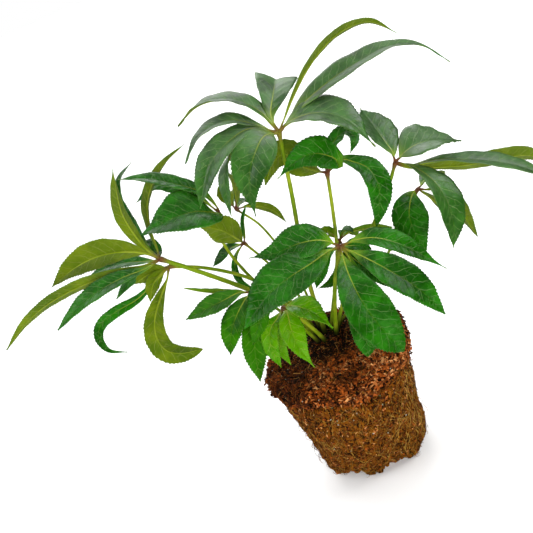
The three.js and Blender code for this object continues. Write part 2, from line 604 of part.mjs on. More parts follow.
const plant = new THREE.Group();
plant.add(piece("root_ball", rootBallSolid(), soil));
for (const [name, leaf] of Object.entries(LEAVES)) {
  const leafSkin = YOUNG.has(name) ? youngLeaf : matureLeaf;
  plant.add(piece(`${name}_petiole`, petioleSolid(leaf), petioleSkin));
  plant.add(piece(`${name}_leaflets`, leafletsSolid(leaf), leafSkin));
}

export default plant;
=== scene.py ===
"""A hellebore with its root ball, dressed over the part's frame.

Every leaf is rebuilt from the layout that its solid follows: leaflets with fine teeth, raised
veins and a separate underside, midribs and stalks, and a petiole with its sheath. The root ball
is a rough core under chips of coir, a mat of roots, stray fibres and grains of perlite.
"""

from __future__ import annotations

import logging
import math
import random
from collections.abc import Mapping, Sequence
from dataclasses import dataclass
from enum import Enum
from functools import partial

import bmesh
import bpy
import numpy as np
from mathutils import Matrix, Vector, noise

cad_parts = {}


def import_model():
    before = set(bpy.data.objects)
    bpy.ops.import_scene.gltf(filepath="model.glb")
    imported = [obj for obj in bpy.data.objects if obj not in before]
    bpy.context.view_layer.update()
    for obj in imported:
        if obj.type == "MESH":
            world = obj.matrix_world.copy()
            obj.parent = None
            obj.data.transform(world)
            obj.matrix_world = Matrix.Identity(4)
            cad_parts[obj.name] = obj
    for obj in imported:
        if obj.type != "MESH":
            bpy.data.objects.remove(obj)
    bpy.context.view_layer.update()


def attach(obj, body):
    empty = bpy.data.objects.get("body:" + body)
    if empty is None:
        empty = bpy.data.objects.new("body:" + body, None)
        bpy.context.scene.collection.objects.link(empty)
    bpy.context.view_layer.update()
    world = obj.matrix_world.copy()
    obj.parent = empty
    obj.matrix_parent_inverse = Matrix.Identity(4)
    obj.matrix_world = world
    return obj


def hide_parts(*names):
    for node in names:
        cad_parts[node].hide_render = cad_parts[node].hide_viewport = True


LOG = logging.getLogger("hellebore")
MM = 0.001

# the root ball's top, the soil heaped on it and the crown that the leaves rise from, in mm
BALL_HEIGHT = 106
MOUND = 7
CROWN = (-4, 11)

Triple = tuple[float, float, float]
Colour = tuple[float, float, float, float]


def tone(code: str) -> Colour:
    """Turns an sRGB hex colour into linear light.

    Args:
        code: Six hex digits after a hash sign.

    Returns:
        Linear red, green and blue, and an alpha of 1.
    """
    parts = (int(code[i : i + 2], 16) / 255 for i in (1, 3, 5))
    red, green, blue = (
        part / 12.92 if part <= 0.04045 else ((part + 0.055) / 1.055) ** 2.4 for part in parts
    )
    return red, green, blue, 1.0


def feed(
    tree: bpy.types.NodeTree, node: bpy.types.Node, inputs: Mapping[str | int, object]
) -> None:
    """Sets or links a node's sockets.

    Args:
        tree: The material's node tree.
        node: The node.
        inputs: Socket name or number, to a value or to the socket that feeds it.
    """
    for key, value in inputs.items():
        socket = node.inputs[key]
        if isinstance(value, bpy.types.NodeSocket):
            tree.links.new(value, socket)
        else:
            socket.default_value = value


def add(
    tree: bpy.types.NodeTree,
    kind: str,
    settings: Mapping[str, object] | None = None,
    inputs: Mapping[str | int, object] | None = None,
) -> bpy.types.Node:
    """Adds one shader node.

    Args:
        tree: The material's node tree.
        kind: The node's type without its ShaderNode prefix.
        settings: The node's own properties.
        inputs: Socket name or number, to a value or to the socket that feeds it.

    Returns:
        The new node.
    """
    node = tree.nodes.new("ShaderNode" + kind)
    for name, value in (settings or {}).items():
        setattr(node, name, value)
    feed(tree, node, inputs or {})
    return node


def ease(low: float, high: float, value: float) -> float:
    """A smooth step from 0 at low to 1 at high."""
    share = min(1.0, max(0.0, (value - low) / (high - low)))
    return share * share * (3 - 2 * share)


# ------------------------------------------------------------------------------- the layout


@dataclass(frozen=True)
class Board:
    """The sloping drawing board that the plant is laid out on, and the eye before it.

    Places are across, up and toward: millimetres on the board from its centre, then
    millimetres from the board towards the eye. A nearer place shrinks towards the centre.
    """

    lean: float = math.radians(28)
    turn: float = math.radians(22)
    eye: float = 800
    top_across: float = 57
    top_up: float = -63

    @property
    def toward(self) -> Vector:
        """The direction from the board to the eye."""
        return Vector((0, -math.cos(self.lean), math.sin(self.lean)))

    @property
    def across(self) -> Vector:
        """The board's own right."""
        upright = Vector((0, math.sin(self.lean), math.cos(self.lean)))
        return Vector((math.cos(self.turn), 0, 0)) - upright * math.sin(self.turn)

    @property
    def up(self) -> Vector:
        """The board's own up."""
        upright = Vector((0, math.sin(self.lean), math.cos(self.lean)))
        return Vector((math.sin(self.turn), 0, 0)) + upright * math.cos(self.turn)

    def heading(self, offsets: Triple) -> Vector:
        """A direction across, up and toward, in the part's frame."""
        across, up, toward = offsets
        return self.across * across + self.up * up + self.toward * toward

    def place(self, spot: Triple) -> Vector:
        """A place on or before the board, in the part's frame and in metres."""
        across, up, toward = spot
        shrink = 1 - toward / self.eye
        offsets = (across * shrink - self.top_across, up * shrink - self.top_up, toward)
        return (self.heading(offsets) + Vector((0, 0, BALL_HEIGHT))) * MM


BOARD = Board()


class Pace(Enum):
    """How a smooth line takes uneven gaps between its places."""

    EVEN = 0.0
    CENTRIPETAL = 0.5


class Midline:
    """A smooth line through a few places, walked at an even pace."""

    STEPS = 40  # samples between two places
    REACH = 0.01  # how far to each side a direction looks, as a share of the length

    def __init__(self, places: Sequence[Vector], pace: Pace) -> None:
        """Samples the line.

        Args:
            places: The places that it passes.
            pace: How the spline takes uneven gaps.
        """
        points = [np.array(place) for place in places]
        ends = [2 * points[0] - points[1], *points, 2 * points[-1] - points[-2]]
        samples: list[np.ndarray] = []
        for before, start, stop, after in zip(ends, ends[1:], ends[2:], ends[3:]):
            gaps = [
                max(float(np.linalg.norm(b - a)) ** pace.value, 1e-9)
                for a, b in ((before, start), (start, stop), (stop, after))
            ]
            leave = self._tangent(before, start, stop, gaps[0], gaps[1]) * gaps[1]
            arrive = self._tangent(start, stop, after, gaps[1], gaps[2]) * gaps[1]
            for step in range(self.STEPS):
                t = step / self.STEPS
                cubic = 2 * start - 2 * stop + leave + arrive
                square = -3 * start + 3 * stop - 2 * leave - arrive
                samples.append(start + t * leave + t * t * square + t**3 * cubic)
        samples.append(points[-1])
        self._points = np.array(samples)
        steps = np.linalg.norm(np.diff(self._points, axis=0), axis=1)
        self._walked = np.concatenate([[0], np.cumsum(steps)])
        self.length = float(self._walked[-1])

    @staticmethod
    def _tangent(
        before: np.ndarray, here: np.ndarray, after: np.ndarray, gap: float, next_gap: float
    ) -> np.ndarray:
        """The spline's speed at a place between two others."""
        whole = (after - before) / (gap + next_gap)
        return (here - before) / gap - whole + (after - here) / next_gap

    def at(self, share: float) -> Vector:
        """The place at a share of the line's length."""
        walked = min(1.0, max(0.0, share)) * self.length
        return Vector([float(np.interp(walked, self._walked, axis)) for axis in self._points.T])

    def along(self, share: float) -> Vector:
        """The direction of travel at a share of the line's length."""
        before, after = max(0, share - self.REACH), min(1, share + self.REACH)
        return (self.at(after) - self.at(before)).normalized()


class Form(Enum):
    """A blade's outline, told by where it is widest as a share of its length."""

    LANCE = 0.5
    SPOON = 0.6
    EGG = 0.39


@dataclass(frozen=True)
class Leaflet:
    """One leaflet of the layout: its width in millimetres, the directions that its upper face
    looks in at its foot and its tip, and the places on the board that its midrib passes.
    """

    form: Form
    width: float
    foot_face: Triple
    tip_face: Triple
    rib: tuple[Triple, ...]


lance, spoon, egg = (partial(Leaflet, form) for form in (Form.LANCE, Form.SPOON, Form.EGG))


class Age(Enum):
    """Whether a leaf is last year's, fully grown, young, or just unfolded."""

    OLD = "old"
    MATURE = "mature"
    YOUNG = "young"
    NEWEST = "newest"

    @property
    def slot(self) -> str:
        """The finish slot of the part that such a leaf takes."""
        return "leaf_mature" if self in (Age.OLD, Age.MATURE) else "leaf_young"


@dataclass(frozen=True)
class Leaf:
    """One leaf of the layout: a petiole from the crown to its hub, and the leaflets there.

    The hub and the places that the petiole passes, from the hub down, are on the board. The
    petiole's foot is beside the crown, in millimetres, as its radius is.
    """

    name: str
    age: Age
    hub: Triple
    via: tuple[Triple, ...]
    foot: tuple[float, float]
    radius: float
    leaflets: tuple[Leaflet, ...]


LEAVES: tuple[Leaf, ...] = (
    Leaf("top", Age.OLD, (10, 107, 75), ((19.8, 60, 56), (32, -5, 22)), (-1.2, 3.2), 1.7, (
        lance(12, (-0.8, 0.5, -0.3), (0.2, 0.9, -0.4), (
            (20, 134, -3), (37, 165, -10), (58, 187, -18), (82, 196, -26), (104, 187, -34))),
        egg(26, (-0.6, 0.5, 0.7), (0.4, 0.9, 0.25), (
            (27, 128, -4), (50, 148, -6), (72, 163, -9), (98, 176, -13), (124, 177, -18),
            (147, 164, -24))),
        spoon(33, (0, 0.35, 0.94), (0.1, 0.75, -0.65), (
            (3.5, 121, -4), (5, 136, -12), (7, 147, -26), (8, 149, -45), (9, 138, -66))),
        egg(26, (0.3, 0.85, 0.5), (-0.6, 0.75, 0.2), (
            (-4, 123, -3), (-22, 132, -5), (-41, 133, -8), (-57, 127, -12), (-71, 112, -18))),
        lance(19, (0.1, 0.85, 0.55), (-0.9, 0.3, 0.35), (
            (-10, 113.5, 3), (-28, 117, 5), (-45, 111, 5), (-57, 100, 3), (-65, 82, 0))),
        lance(24, (-0.2, 0.7, 0.65), (-0.5, 0.2, 0.85), (
            (-13, 110, 8), (-28.5, 101.5, 14), (-41, 88.5, 17), (-48, 73, 17), (-53, 46, 14))),
        egg(32, (0, 0.62, 0.78), (-0.1, 0.25, 0.96), (
            (-2, 104, 14), (-9, 91, 22), (-13.5, 75, 25), (-13, 59, 23), (-8.5, 40, 18))),
        egg(37, (-0.2, 0.87, 0.5), (0.45, 0.45, 0.75), (
            (18, 115.5, 2), (34, 122, 5), (52, 122, 9), (70, 113.5, 12), (87, 95.5, 12))),
        lance(13, (-0.4, 0.5, -0.75), (-0.45, 0.1, 0.9), (
            (-8, 107, -4), (-20, 100, -8), (-30, 86, -10), (-33.5, 70, -8), (-31, 54, -6),
            (-28, 40, -4))),
    )),
    Leaf("middle", Age.MATURE, (48.5, 75, 62), ((53, 45, 50), (56.5, 10, 28)), (3.5, 1.8), 1.45, (
        egg(28, (0.1, 0.5, 0.86), (-0.5, 0.15, 0.85), (
            (56, 84, 8), (48, 89, 16), (36, 90, 20), (23, 84, 22), (9, 70, 20))),
        lance(21, (0.1, 0.75, 0.65), (0.15, 0.05, 0.98), (
            (58, 85, 2), (70, 83.5, 4), (82, 78, 9), (89.5, 65, 13), (90.5, 50, 12), (88, 31, 8))),
        lance(13, (-0.5, 0.8, 0.2), (0.4, 0.2, 0.9), (
            (50, 92, -6), (57, 104, -9), (65, 108, -6), (70, 102, 0), (67, 90.5, 4))),
        lance(24, (0, 0.6, -0.8), (-0.5, 0.2, -0.85), (
            (40, 77, -9), (28, 81, -18), (15, 90, -25), (5, 83, -27), (-1, 65, -27))),
        lance(14, (0.2, 0.7, 0.65), (0, 0.8, 0.4), (
            (46, 83, -8), (41, 94, -16), (32, 98, -24), (20, 93, -34))),
    )),
    Leaf("right", Age.OLD, (103, 83, 50), ((98, 65, 44), (84, 30, 32), (66, -12, 12)),
         (8, 1), 1.5, (
        lance(33, (0.4, 0.45, 0.8), (0.45, 0.4, 0.75), (
            (101, 91, 0), (94, 101, -4), (87, 111, -9), (75, 126, -18))),
        egg(44, (-0.3, 0.65, 0.7), (0, 0.9, 0.4), (
            (107, 88, 2), (117, 96, 4), (129, 100.5, 3), (143, 101.5, -2), (156, 101, -9))),
        spoon(26, (-0.2, 0.88, 0.45), (0.3, 0.8, 0.5), (
            (114, 81, 3), (140, 85.5, 7), (165, 85, 9), (190, 82, 8), (213, 76, 5), (236, 64, 1))),
        spoon(18, (-0.2, 0.8, -0.55), (0.2, 0.75, -0.65), (
            (113, 79.5, -6), (138, 80, -14), (163, 82, -20), (188, 87, -25), (211, 89, -29),
            (232, 81, -34))),
        lance(28, (0.3, 0.83, 0.47), (0.35, 0.25, 0.9), (
            (112, 82, 6), (125, 75.5, 13), (136, 66, 18), (144.5, 52, 20), (149.5, 34, 18),
            (149.6, 15, 14))),
    )),
    Leaf("right_rear", Age.MATURE, (121, 62, 18), ((112, 42, 20), (98, 12, 18), (75, -22, 6)),
         (10, 6), 1.2, (
        lance(29, (0, 0.2, 0.98), (0, 0, 1), (
            (117, 58.5, 6), (114.5, 49, 13), (114.5, 39, 17), (119, 27, 18), (128, 13, 16))),
        lance(18, (0.1, 0.85, 0.5), (0.75, 0.2, -0.65), (
            (129, 62, 2), (141, 63, 3), (150.5, 56, 3), (157, 42, 1), (169, 24, -3))),
        lance(17, (-0.3, 0.85, 0.2), (0.2, 0.85, -0.3), (
            (124, 66, -5), (129, 72, -16), (135, 74, -30), (142, 68, -46))),
        lance(16, (0.5, 0.6, -0.3), (0.8, 0.3, -0.4), (
            (125, 60, -6), (133, 54, -18), (142, 44, -28), (149, 29, -34))),
    )),
    Leaf("front", Age.MATURE, (59, 16, 85), ((56, -2, 74), (54.5, -25, 46)), (6, -5), 1.7, (
        egg(29, (0.1, 0.55, 0.83), (-0.2, 0.4, 0.9), (
            (51, 19.5, 3), (40, 21, 6), (25, 18, 8), (8, 11, 8), (-14, 6.5, 5))),
        lance(34, (-0.1, 0.45, 0.88), (-0.45, 0.2, 0.87), (
            (51, 13, 6), (35, 2, 16), (18, -9, 22), (1, -23, 23), (-18, -50, 18))),
        spoon(34, (0, 0.45, 0.9), (0.2, 0.1, 0.98), (
            (61, 8, 8), (66, -7, 19), (76, -27, 27), (91, -48, 29), (110, -67.5, 26))),
        lance(26, (0.1, 0.5, 0.86), (0.3, 0.2, 0.93), (
            (68, 12, 6), (85, 4, 13), (103, -6, 17), (122, -18, 17), (143, -38, 13))),
        egg(20, (0, 0.6, 0.8), (0.3, 0.45, 0.85), (
            (69, 20.5, 2), (86, 23, 2), (104, 19, 0), (122, 10.5, -3), (144, -1.5, -8))),
        lance(14, (0.2, 0.4, 0.9), (0.4, 0.2, 0.9), (
            (66, 9, -3), (78, 0, -5), (89, -8, -8), (100, -17, -12))),
        lance(13, (0, 0.5, 0.86), (0.2, 0.4, 0.9), (
            (66, 16.5, -4), (75, 16.5, -9), (84, 14, -15))),
        lance(13, (-0.3, 0.2, 0.9), (-0.3, 0.1, 0.95), (
            (49, 11, 5), (44, 1, 3), (40, -17, -4))),
        spoon(25, (0.2, 0.2, 0.95), (0.1, 0.1, 1), (
            (66, 7, 2), (72, -15, 6), (78, -43, 8), (81, -72, 5))),
    )),
    Leaf("left", Age.MATURE, (-85, 6, 60), ((-60, -2, 57), (-13, -19, 40), (22, -36, 14)),
         (-9, -1), 1.8, (
        lance(13, (-0.5, 0.3, -0.8), (-0.8, 0.1, -0.5), (
            (-94.5, 12, 1), (-106.5, 26, 2), (-116, 42, 0), (-120.5, 60, -5), (-123, 78, -11))),
        lance(14, (-0.6, 0.3, 0.6), (-0.8, 0.4, 0.5), (
            (-94, 14, -8), (-106, 30, -20), (-117, 49, -31), (-118, 69, -38), (-108, 84, -43))),
        lance(26, (0, 0.6, -0.8), (-0.3, 0.6, -0.75), (
            (-98, 11, 1), (-116, 12, 0), (-136, 8, -3), (-155, -2, -6), (-172, -17, -11))),
        lance(13, (0, 0.75, -0.6), (-0.5, 0.6, -0.55), (
            (-98, 1, 4), (-124, -6, 8), (-150, -16, 9), (-175, -30, 7), (-194, -47, 3),
            (-208, -67, -3))),
        lance(18, (-0.1, 0.7, 0.6), (-0.4, 0.5, 0.75), (
            (-97, -2, 9), (-115, -9, 15), (-133, -19, 19), (-151, -33, 20), (-167, -51, 16))),
        lance(14, (0, 0.7, 0.65), (-0.3, 0.7, 0.6), (
            (-96, 4, -7), (-112, 3, -13), (-127, -1, -18), (-142, -8, -23))),
        lance(13, (-0.7, 0.1, -0.5), (-0.6, 0.6, -0.4), (
            (-88, 14, -9), (-94, 32, -22), (-96, 50, -32), (-91, 68, -40), (-81, 84, -47),
            (-66, 98, -54))),
        lance(12, (0.1, 0.5, 0.85), (-0.2, 0.6, 0.75), (
            (-88, 11, -13), (-94, 18, -20), (-101, 16, -29))),
    )),
    Leaf("left_low", Age.MATURE, (-78, 0, 38), ((-50, -1, 36), (-12, -10, 26), (24, -32, 6)),
         (-10, 4), 1.4, (
        spoon(18, (-0.6, 0, -0.8), (0.1, -0.4, -0.9), (
            (-80, -11, 3), (-85, -25, 7), (-89.5, -42, 10), (-88, -57, 12), (-80, -67.5, 12),
            (-67, -69.5, 10), (-51, -66, 6))),
        lance(9, (0.2, 0.75, 0.5), (0.1, -0.6, 0.7), (
            (-88, -11, 6), (-103, -26, 9), (-120, -36, 12), (-132, -46, 13), (-134, -57, 11),
            (-126, -67, 7), (-111, -68.5, 3))),
        lance(15, (-0.2, 0.4, -0.88), (-0.3, 0.3, -0.9), (
            (-86, -3, 1), (-96, -7, 2), (-105, -14, 2))),
        lance(12, (-0.3, 0.2, -0.9), (-0.3, 0.1, -0.95), (
            (-85, -6, 3), (-91, -15, 8), (-93, -28, 10))),
        lance(13, (0, 0.6, 0.75), (-0.3, 0.5, 0.8), (
            (-87, -1, -8), (-99, -5, -14), (-111, -14, -18), (-120, -26, -20))),
    )),
    Leaf("upper_left", Age.MATURE, (-38, 43, 18), ((-36, 22, 9), (-10, -11, 7), (27, -36, -5)),
         (-7, 8), 1.3, (
        lance(18, (0.2, 0.7, 0.7), (-0.1, 0.85, 0.5), (
            (-41, 50, 7), (-54, 60, 16), (-73, 66, 20), (-95, 70, 19), (-119, 69.5, 14))),
        egg(43, (0.1, 0.65, 0.75), (-0.45, 0.35, 0.8), (
            (-43, 43, 15), (-55, 44, 28), (-70, 40.5, 35), (-87, 32.5, 35), (-104, 23, 29))),
        lance(13, (-0.2, 0.8, 0.5), (-0.7, 0.2, 0.7), (
            (-48, 51, -2), (-68, 61, -8), (-88, 65, -13), (-104, 51, -17))),
        lance(14, (0, 0.6, -0.75), (-0.2, 0.6, -0.7), (
            (-45, 42, -5), (-54, 42, -13), (-66, 40, -22))),
    )),
    Leaf("inner_left", Age.MATURE, (-18, 19, 4), ((0, 4, 2), (28, -26, -4)), (-3, 9), 1.1, (
        lance(24, (0, 0.3, -0.95), (-0.3, 0.4, -0.85), (
            (-23, 22, 10), (-33, 28, 19), (-44, 31, 22), (-55, 33, 19))),
        lance(9, (-0.9, 0, 0.3), (-0.9, 0.2, 0.3), (
            (-18, 27, -3), (-18.5, 37, -5), (-16.5, 49, -4))),
        lance(12, (-0.1, 0.6, 0.75), (-0.6, 0.4, 0.7), (
            (-24, 16.5, -3), (-31, 13, -9), (-42.5, 0, -16))),
        lance(8, (-0.9, 0, 0.45), (-0.3, -0.5, 0.8), (
            (-23, 12, 0), (-25, 0, -3), (-20, -12, -8), (-9, -18, -14))),
    )),
    Leaf("rear_left", Age.MATURE, (-24.5, 46, -14), ((-5, 33, -13), (22, -2, -14), (38, -34, -16)),
         (3, 11), 1, (
        lance(8, (0, 0.6, -0.8), (0.3, 0.4, -0.85), (
            (-14, 48.5, 0), (-4, 48, 0), (6, 44.5, -1), (16, 35.5, -4))),
        lance(14, (-0.3, 0.7, -0.6), (-0.5, 0.6, -0.6), (
            (-29, 52, -4), (-34, 60, -9), (-38, 68, -18))),
        lance(13, (0.3, 0.5, -0.7), (0.1, 0.7, -0.6), (
            (-24, 55, -6), (-27, 66, -14), (-32, 76, -25))),
        lance(15, (0, 0.85, -0.1), (0, 0.8, -0.6), (
            (-21, 51, -12), (-17, 54, -28), (-13, 50, -46))),
    )),
    Leaf("front_left", Age.YOUNG, (-12, -20.5, 68), ((13, -37, 46), (30, -50, 20)), (-8, -7), 1.2, (
        lance(11, (0, 0.95, -0.25), (-0.1, 0.9, -0.4), (
            (-21, -20, -2), (-36, -20.6, -6), (-51, -20, -11), (-66, -17.5, -16))),
        lance(18, (-0.1, 0.65, 0.75), (-0.5, 0.4, 0.75), (
            (-22, -21, 3), (-35, -27.5, 6), (-49, -34.5, 7), (-64.5, -42.5, 5))),
        lance(18, (-0.4, 0.3, 0.85), (-0.1, 0.05, 1), (
            (-18, -28, 8), (-25, -42, 12), (-28.5, -56, 12), (-28.5, -70.5, 8))),
        lance(20, (0, 0.3, 0.95), (0.1, 0.1, 1), (
            (-11, -33, 6), (-9.5, -50, 10), (-9, -70, 12), (-5, -92, 9))),
        lance(14, (0.3, 0.2, 0.9), (-0.2, 0.1, 0.98), (
            (-8, -31, 12), (-5.5, -42, 17), (-8.5, -53, 19), (-11, -63, 19))),
    )),
    Leaf("front_low", Age.NEWEST, (13, -33, 70), ((22, -38, 58), (34, -47, 32)), (-3, -9), 1.5, (
        egg(22, (0.2, 0.6, 0.75), (0.5, 0.4, 0.75), (
            (20, -31.5, 7), (30, -33.5, 12), (41, -39, 14), (53, -49.5, 12))),
        egg(19, (0, 0.4, 0.9), (0.3, 0.1, 0.95), (
            (17, -39, 9), (20, -51, 15), (27, -66, 18), (38.5, -80.5, 16))),
        lance(13, (-0.4, 0.2, 0.9), (-0.1, 0.1, 0.98), (
            (9, -41, 8), (3, -51, 12), (4, -65, 13), (12, -80.5, 10))),
        lance(10, (0, 0.2, 0.95), (0.1, 0.1, 0.98), (
            (11, -43, -1), (9.5, -55, -3), (13, -68, -4), (19.5, -78.5, -5))),
        lance(9, (0, 0.3, 0.95), (0.1, 0.1, 0.98), (
            (11, -41, 2), (10, -48, 1), (13, -57, -3))),
    )),
    Leaf("rear_low", Age.YOUNG, (58, 21, 2), ((56, 0, 0), (54, -30, -8)), (4, 8), 1.1, (
        lance(9, (0, 0.6, -0.75), (-0.3, 0.5, -0.75), (
            (54, 25, -1), (48, 28.5, -4), (41.5, 26.5, -9))),
        lance(8, (0, 0.7, -0.65), (0.2, 0.75, -0.6), (
            (65, 27, -3), (76, 30, -9), (89, 31.5, -15), (102, 31.5, -21))),
        lance(11, (-0.2, 0.75, 0.5), (0.5, 0.5, 0.7), (
            (60, 26, 4), (64, 29.5, 9), (69.5, 27, 14))),
        lance(12, (0, 0.4, 0.9), (-0.2, 0.3, 0.9), (
            (64, 12, -8), (60, -4, -16), (52, -13, -20), (41.5, -17.5, -22))),
        lance(15, (0.3, 0.2, 0.9), (0, 0.1, 1), (
            (67, 10, -6), (73, -6, -13), (74, -22, -17), (70, -38, -20))),
        lance(14, (0, 0.9, -0.2), (0.2, 0.8, -0.5), (
            (61, 26, -9), (66, 28, -24), (73, 24, -41))),
    )),
)


# ------------------------------------------------------------------------------- mesh helpers


@dataclass(frozen=True)
class Station:
    """One ring of a tube: its middle, the two directions across it and its radii there."""

    middle: Vector
    side: Vector
    up: Vector
    half_width: float
    half_height: float


def roll_tube(bm: bmesh.types.BMesh, stations: Sequence[Station], sides: int) -> list:
    """Rolls a grid into a tube, and closes its seam and its pinched ends.

    Args:
        bm: The mesh that takes the tube.
        stations: The tube's rings in order.
        sides: The faces round it.

    Returns:
        The tube's vertices.
    """
    rings = len(stations) - 1
    grid = bmesh.ops.create_grid(bm, x_segments=sides, y_segments=rings, size=1)["verts"]
    for vert in grid:
        station = stations[round((vert.co.y + 1) / 2 * rings)]
        angle = -math.pi * (vert.co.x + 1)
        across = station.side * (station.half_width * math.cos(angle))
        vert.co = station.middle + across + station.up * (station.half_height * math.sin(angle))
    bmesh.ops.remove_doubles(bm, verts=grid, dist=1e-6)
    return [vert for vert in grid if vert.is_valid]


def carried_frames(points: Sequence[Vector]) -> list[tuple[Vector, Vector]]:
    """Side and up directions along a path, turned no more than its bends need."""
    frames: list[tuple[Vector, Vector]] = []
    side = Vector((0, 0, 0))
    for i, point in enumerate(points):
        along = (points[min(i + 1, len(points) - 1)] - points[max(i - 1, 0)]).normalized()
        if i == 0:
            side = along.orthogonal().normalized()
        side = (side - along * side.dot(along)).normalized()
        frames.append((side, side.cross(along)))
    return frames


class Bundle:
    """Gathers thousands of small shapes into one mesh, some thousand vertices at a time."""

    PART_SIZE = 2500  # vertices, past which adding to a part grows slow
    TAPER = 0.55  # the share of its thickness that a strand loses on its way
    HEAD, TAIL = 0.35, 0.8  # how wide a chip's two ends are, as shares of its width

    def __init__(self) -> None:
        """Starts an empty bundle whose vertices carry a tint."""
        self._whole = bmesh.new()
        self._part = bmesh.new()
        self._whole.verts.layers.float.new("tint")
        self._tint = self._part.verts.layers.float.new("tint")
        self._count = 0

    def strand(self, points: Sequence[Vector], radius: float, sides: int, tint: float) -> None:
        """Adds a tapering fibre.

        Args:
            points: Where it runs, in millimetres.
            radius: Its thickest radius in millimetres.
            sides: The faces round it.
            tint: Where it lies between the finish's dark and pale ends.
        """
        frames = carried_frames(points)
        last = len(points) - 1
        stations = []
        for i, (point, (side, up)) in enumerate(zip(points, frames)):
            thick = 0 if i in (0, last) else radius * (1 - self.TAPER * i / last)
            stations.append(Station(point * MM, side, up, thick * MM, thick * MM))
        self._colour(roll_tube(self._part, stations, sides), tint)

    def chip(self, place: Matrix, size: Triple, tint: float, dice: random.Random) -> None:
        """Adds a splinter with uneven corners.

        Args:
            place: Where it lies, in millimetres.
            size: Its length, width and thickness in millimetres.
            tint: Where it lies between the finish's dark and pale ends.
            dice: The source of the uneven corners.
        """
        scale = Matrix.Diagonal((*size, 1))
        verts = bmesh.ops.create_cube(self._part, size=1)["verts"]
        for vert in verts:
            pinch = self.HEAD if vert.co.x > 0 else self.TAIL
            vert.co.y *= pinch + dice.uniform(-0.25, 0.25)
            vert.co += Vector([dice.uniform(-0.16, 0.16) for _ in range(3)])
            vert.co = (place @ (scale @ vert.co)) * MM
        self._colour(verts, tint)

    def grain(self, place: Vector, radius: float, tint: float, dice: random.Random) -> None:
        """Adds a small uneven grain at a place, all in millimetres."""
        verts = bmesh.ops.create_icosphere(self._part, subdivisions=1, radius=radius)["verts"]
        for vert in verts:
            vert.co = (place + vert.co * dice.uniform(0.7, 1.2)) * MM
        self._colour(verts, tint)

    def _colour(self, verts: Sequence, tint: float) -> None:
        """Tints the newest vertices, and moves a full part into the whole."""
        for vert in verts:
            vert[self._tint] = tint
        self._count += len(verts)
        if self._count > self.PART_SIZE:
            self._pour()

    def _pour(self) -> None:
        """Moves the part's shapes into the whole."""
        step = bpy.data.meshes.new("step")
        self._part.to_mesh(step)
        self._whole.from_mesh(step)
        bpy.data.meshes.remove(step)
        self._part.clear()
        self._tint = self._part.verts.layers.float.get("tint")
        if self._tint is None:
            self._tint = self._part.verts.layers.float.new("tint")
        self._count = 0

    def piece(self, name: str, finish: bpy.types.Material, smooth: bool) -> bpy.types.Object:
        """The finished mesh as an object in the scene."""
        self._pour()
        self._part.free()
        return piece_from(self._whole, name, (finish,), smooth)


def piece_from(
    bm: bmesh.types.BMesh, name: str, finishes: Sequence[bpy.types.Material], smooth: bool = True
) -> bpy.types.Object:
    """Turns a bmesh into an object at the origin.

    Args:
        bm: The mesh, which is freed.
        name: The object's name.
        finishes: Its materials in slot order.
        smooth: Whether its faces are shaded smooth.

    Returns:
        The new object.
    """
    mesh = bpy.data.meshes.new(name)
    for face in bm.faces:
        face.smooth = smooth
    bm.to_mesh(mesh)
    bm.free()
    for finish in finishes:
        mesh.materials.append(finish)
    made = bpy.data.objects.new(name, mesh)
    bpy.context.scene.collection.objects.link(made)
    LOG.info("%s: %d faces", name, len(mesh.polygons))
    return made


def declare(made: bpy.types.Object, slot: str, *nodes: str) -> None:
    """Tells the frame what a piece rides on and replaces."""
    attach(made, "root")
    if nodes:
        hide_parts(*nodes)


# ------------------------------------------------------------------------------- finishes

# a MapRange node takes VALUE from START..STOP to LOW..HIGH
VALUE, START, STOP, LOW, HIGH = range(5)
# a Mix node lays the colour OVER on the colour UNDER by a FACTOR, and gives it as MIXED
FACTOR, UNDER, OVER, MIXED = 0, 6, 7, 2
SMOOTH = {"interpolation_type": "SMOOTHSTEP"}
MULTIPLY = {"operation": "MULTIPLY"}
MULTIPLY_ADD = {"operation": "MULTIPLY_ADD"}
MAXIMUM = {"operation": "MAXIMUM"}

Coat = tuple[bpy.types.Node | bpy.types.NodeSocket, str]


def new_material(name: str) -> tuple[bpy.types.Material, bpy.types.NodeTree, bpy.types.Node]:
    """Makes a material with a Principled surface, and gives it with its tree and that node."""
    finish = bpy.data.materials.new(name)
    finish.use_nodes = True
    tree = finish.node_tree
    tree.nodes.clear()
    surface = add(tree, "BsdfPrincipled")
    add(tree, "OutputMaterial", None, {"Surface": surface.outputs[0]})
    return finish, tree, surface


def coated(tree: bpy.types.NodeTree, ground: str, *coats: Coat) -> bpy.types.NodeSocket:
    """Lays colours over a ground, one on the other.

    Args:
        tree: The material's node tree.
        ground: The lowest colour's hex code.
        coats: How much of each colour shows, and its hex code, from below.

    Returns:
        The socket that gives the colour.
    """
    colour: Colour | bpy.types.NodeSocket = tone(ground)
    for share, code in coats:
        amount = share.outputs[0] if isinstance(share, bpy.types.Node) else share
        colour = add(tree, "Mix", {"data_type": "RGBA"},
                     {FACTOR: amount, UNDER: colour, OVER: tone(code)}).outputs[MIXED]
    return colour


def parts_of(tree: bpy.types.NodeTree, name: str) -> list[bpy.types.NodeSocket]:
    """The three parts of a vector that the mesh carries."""
    carried = add(tree, "Attribute", {"attribute_name": name})
    return add(tree, "SeparateXYZ", None, {0: carried.outputs["Vector"]}).outputs[:3]


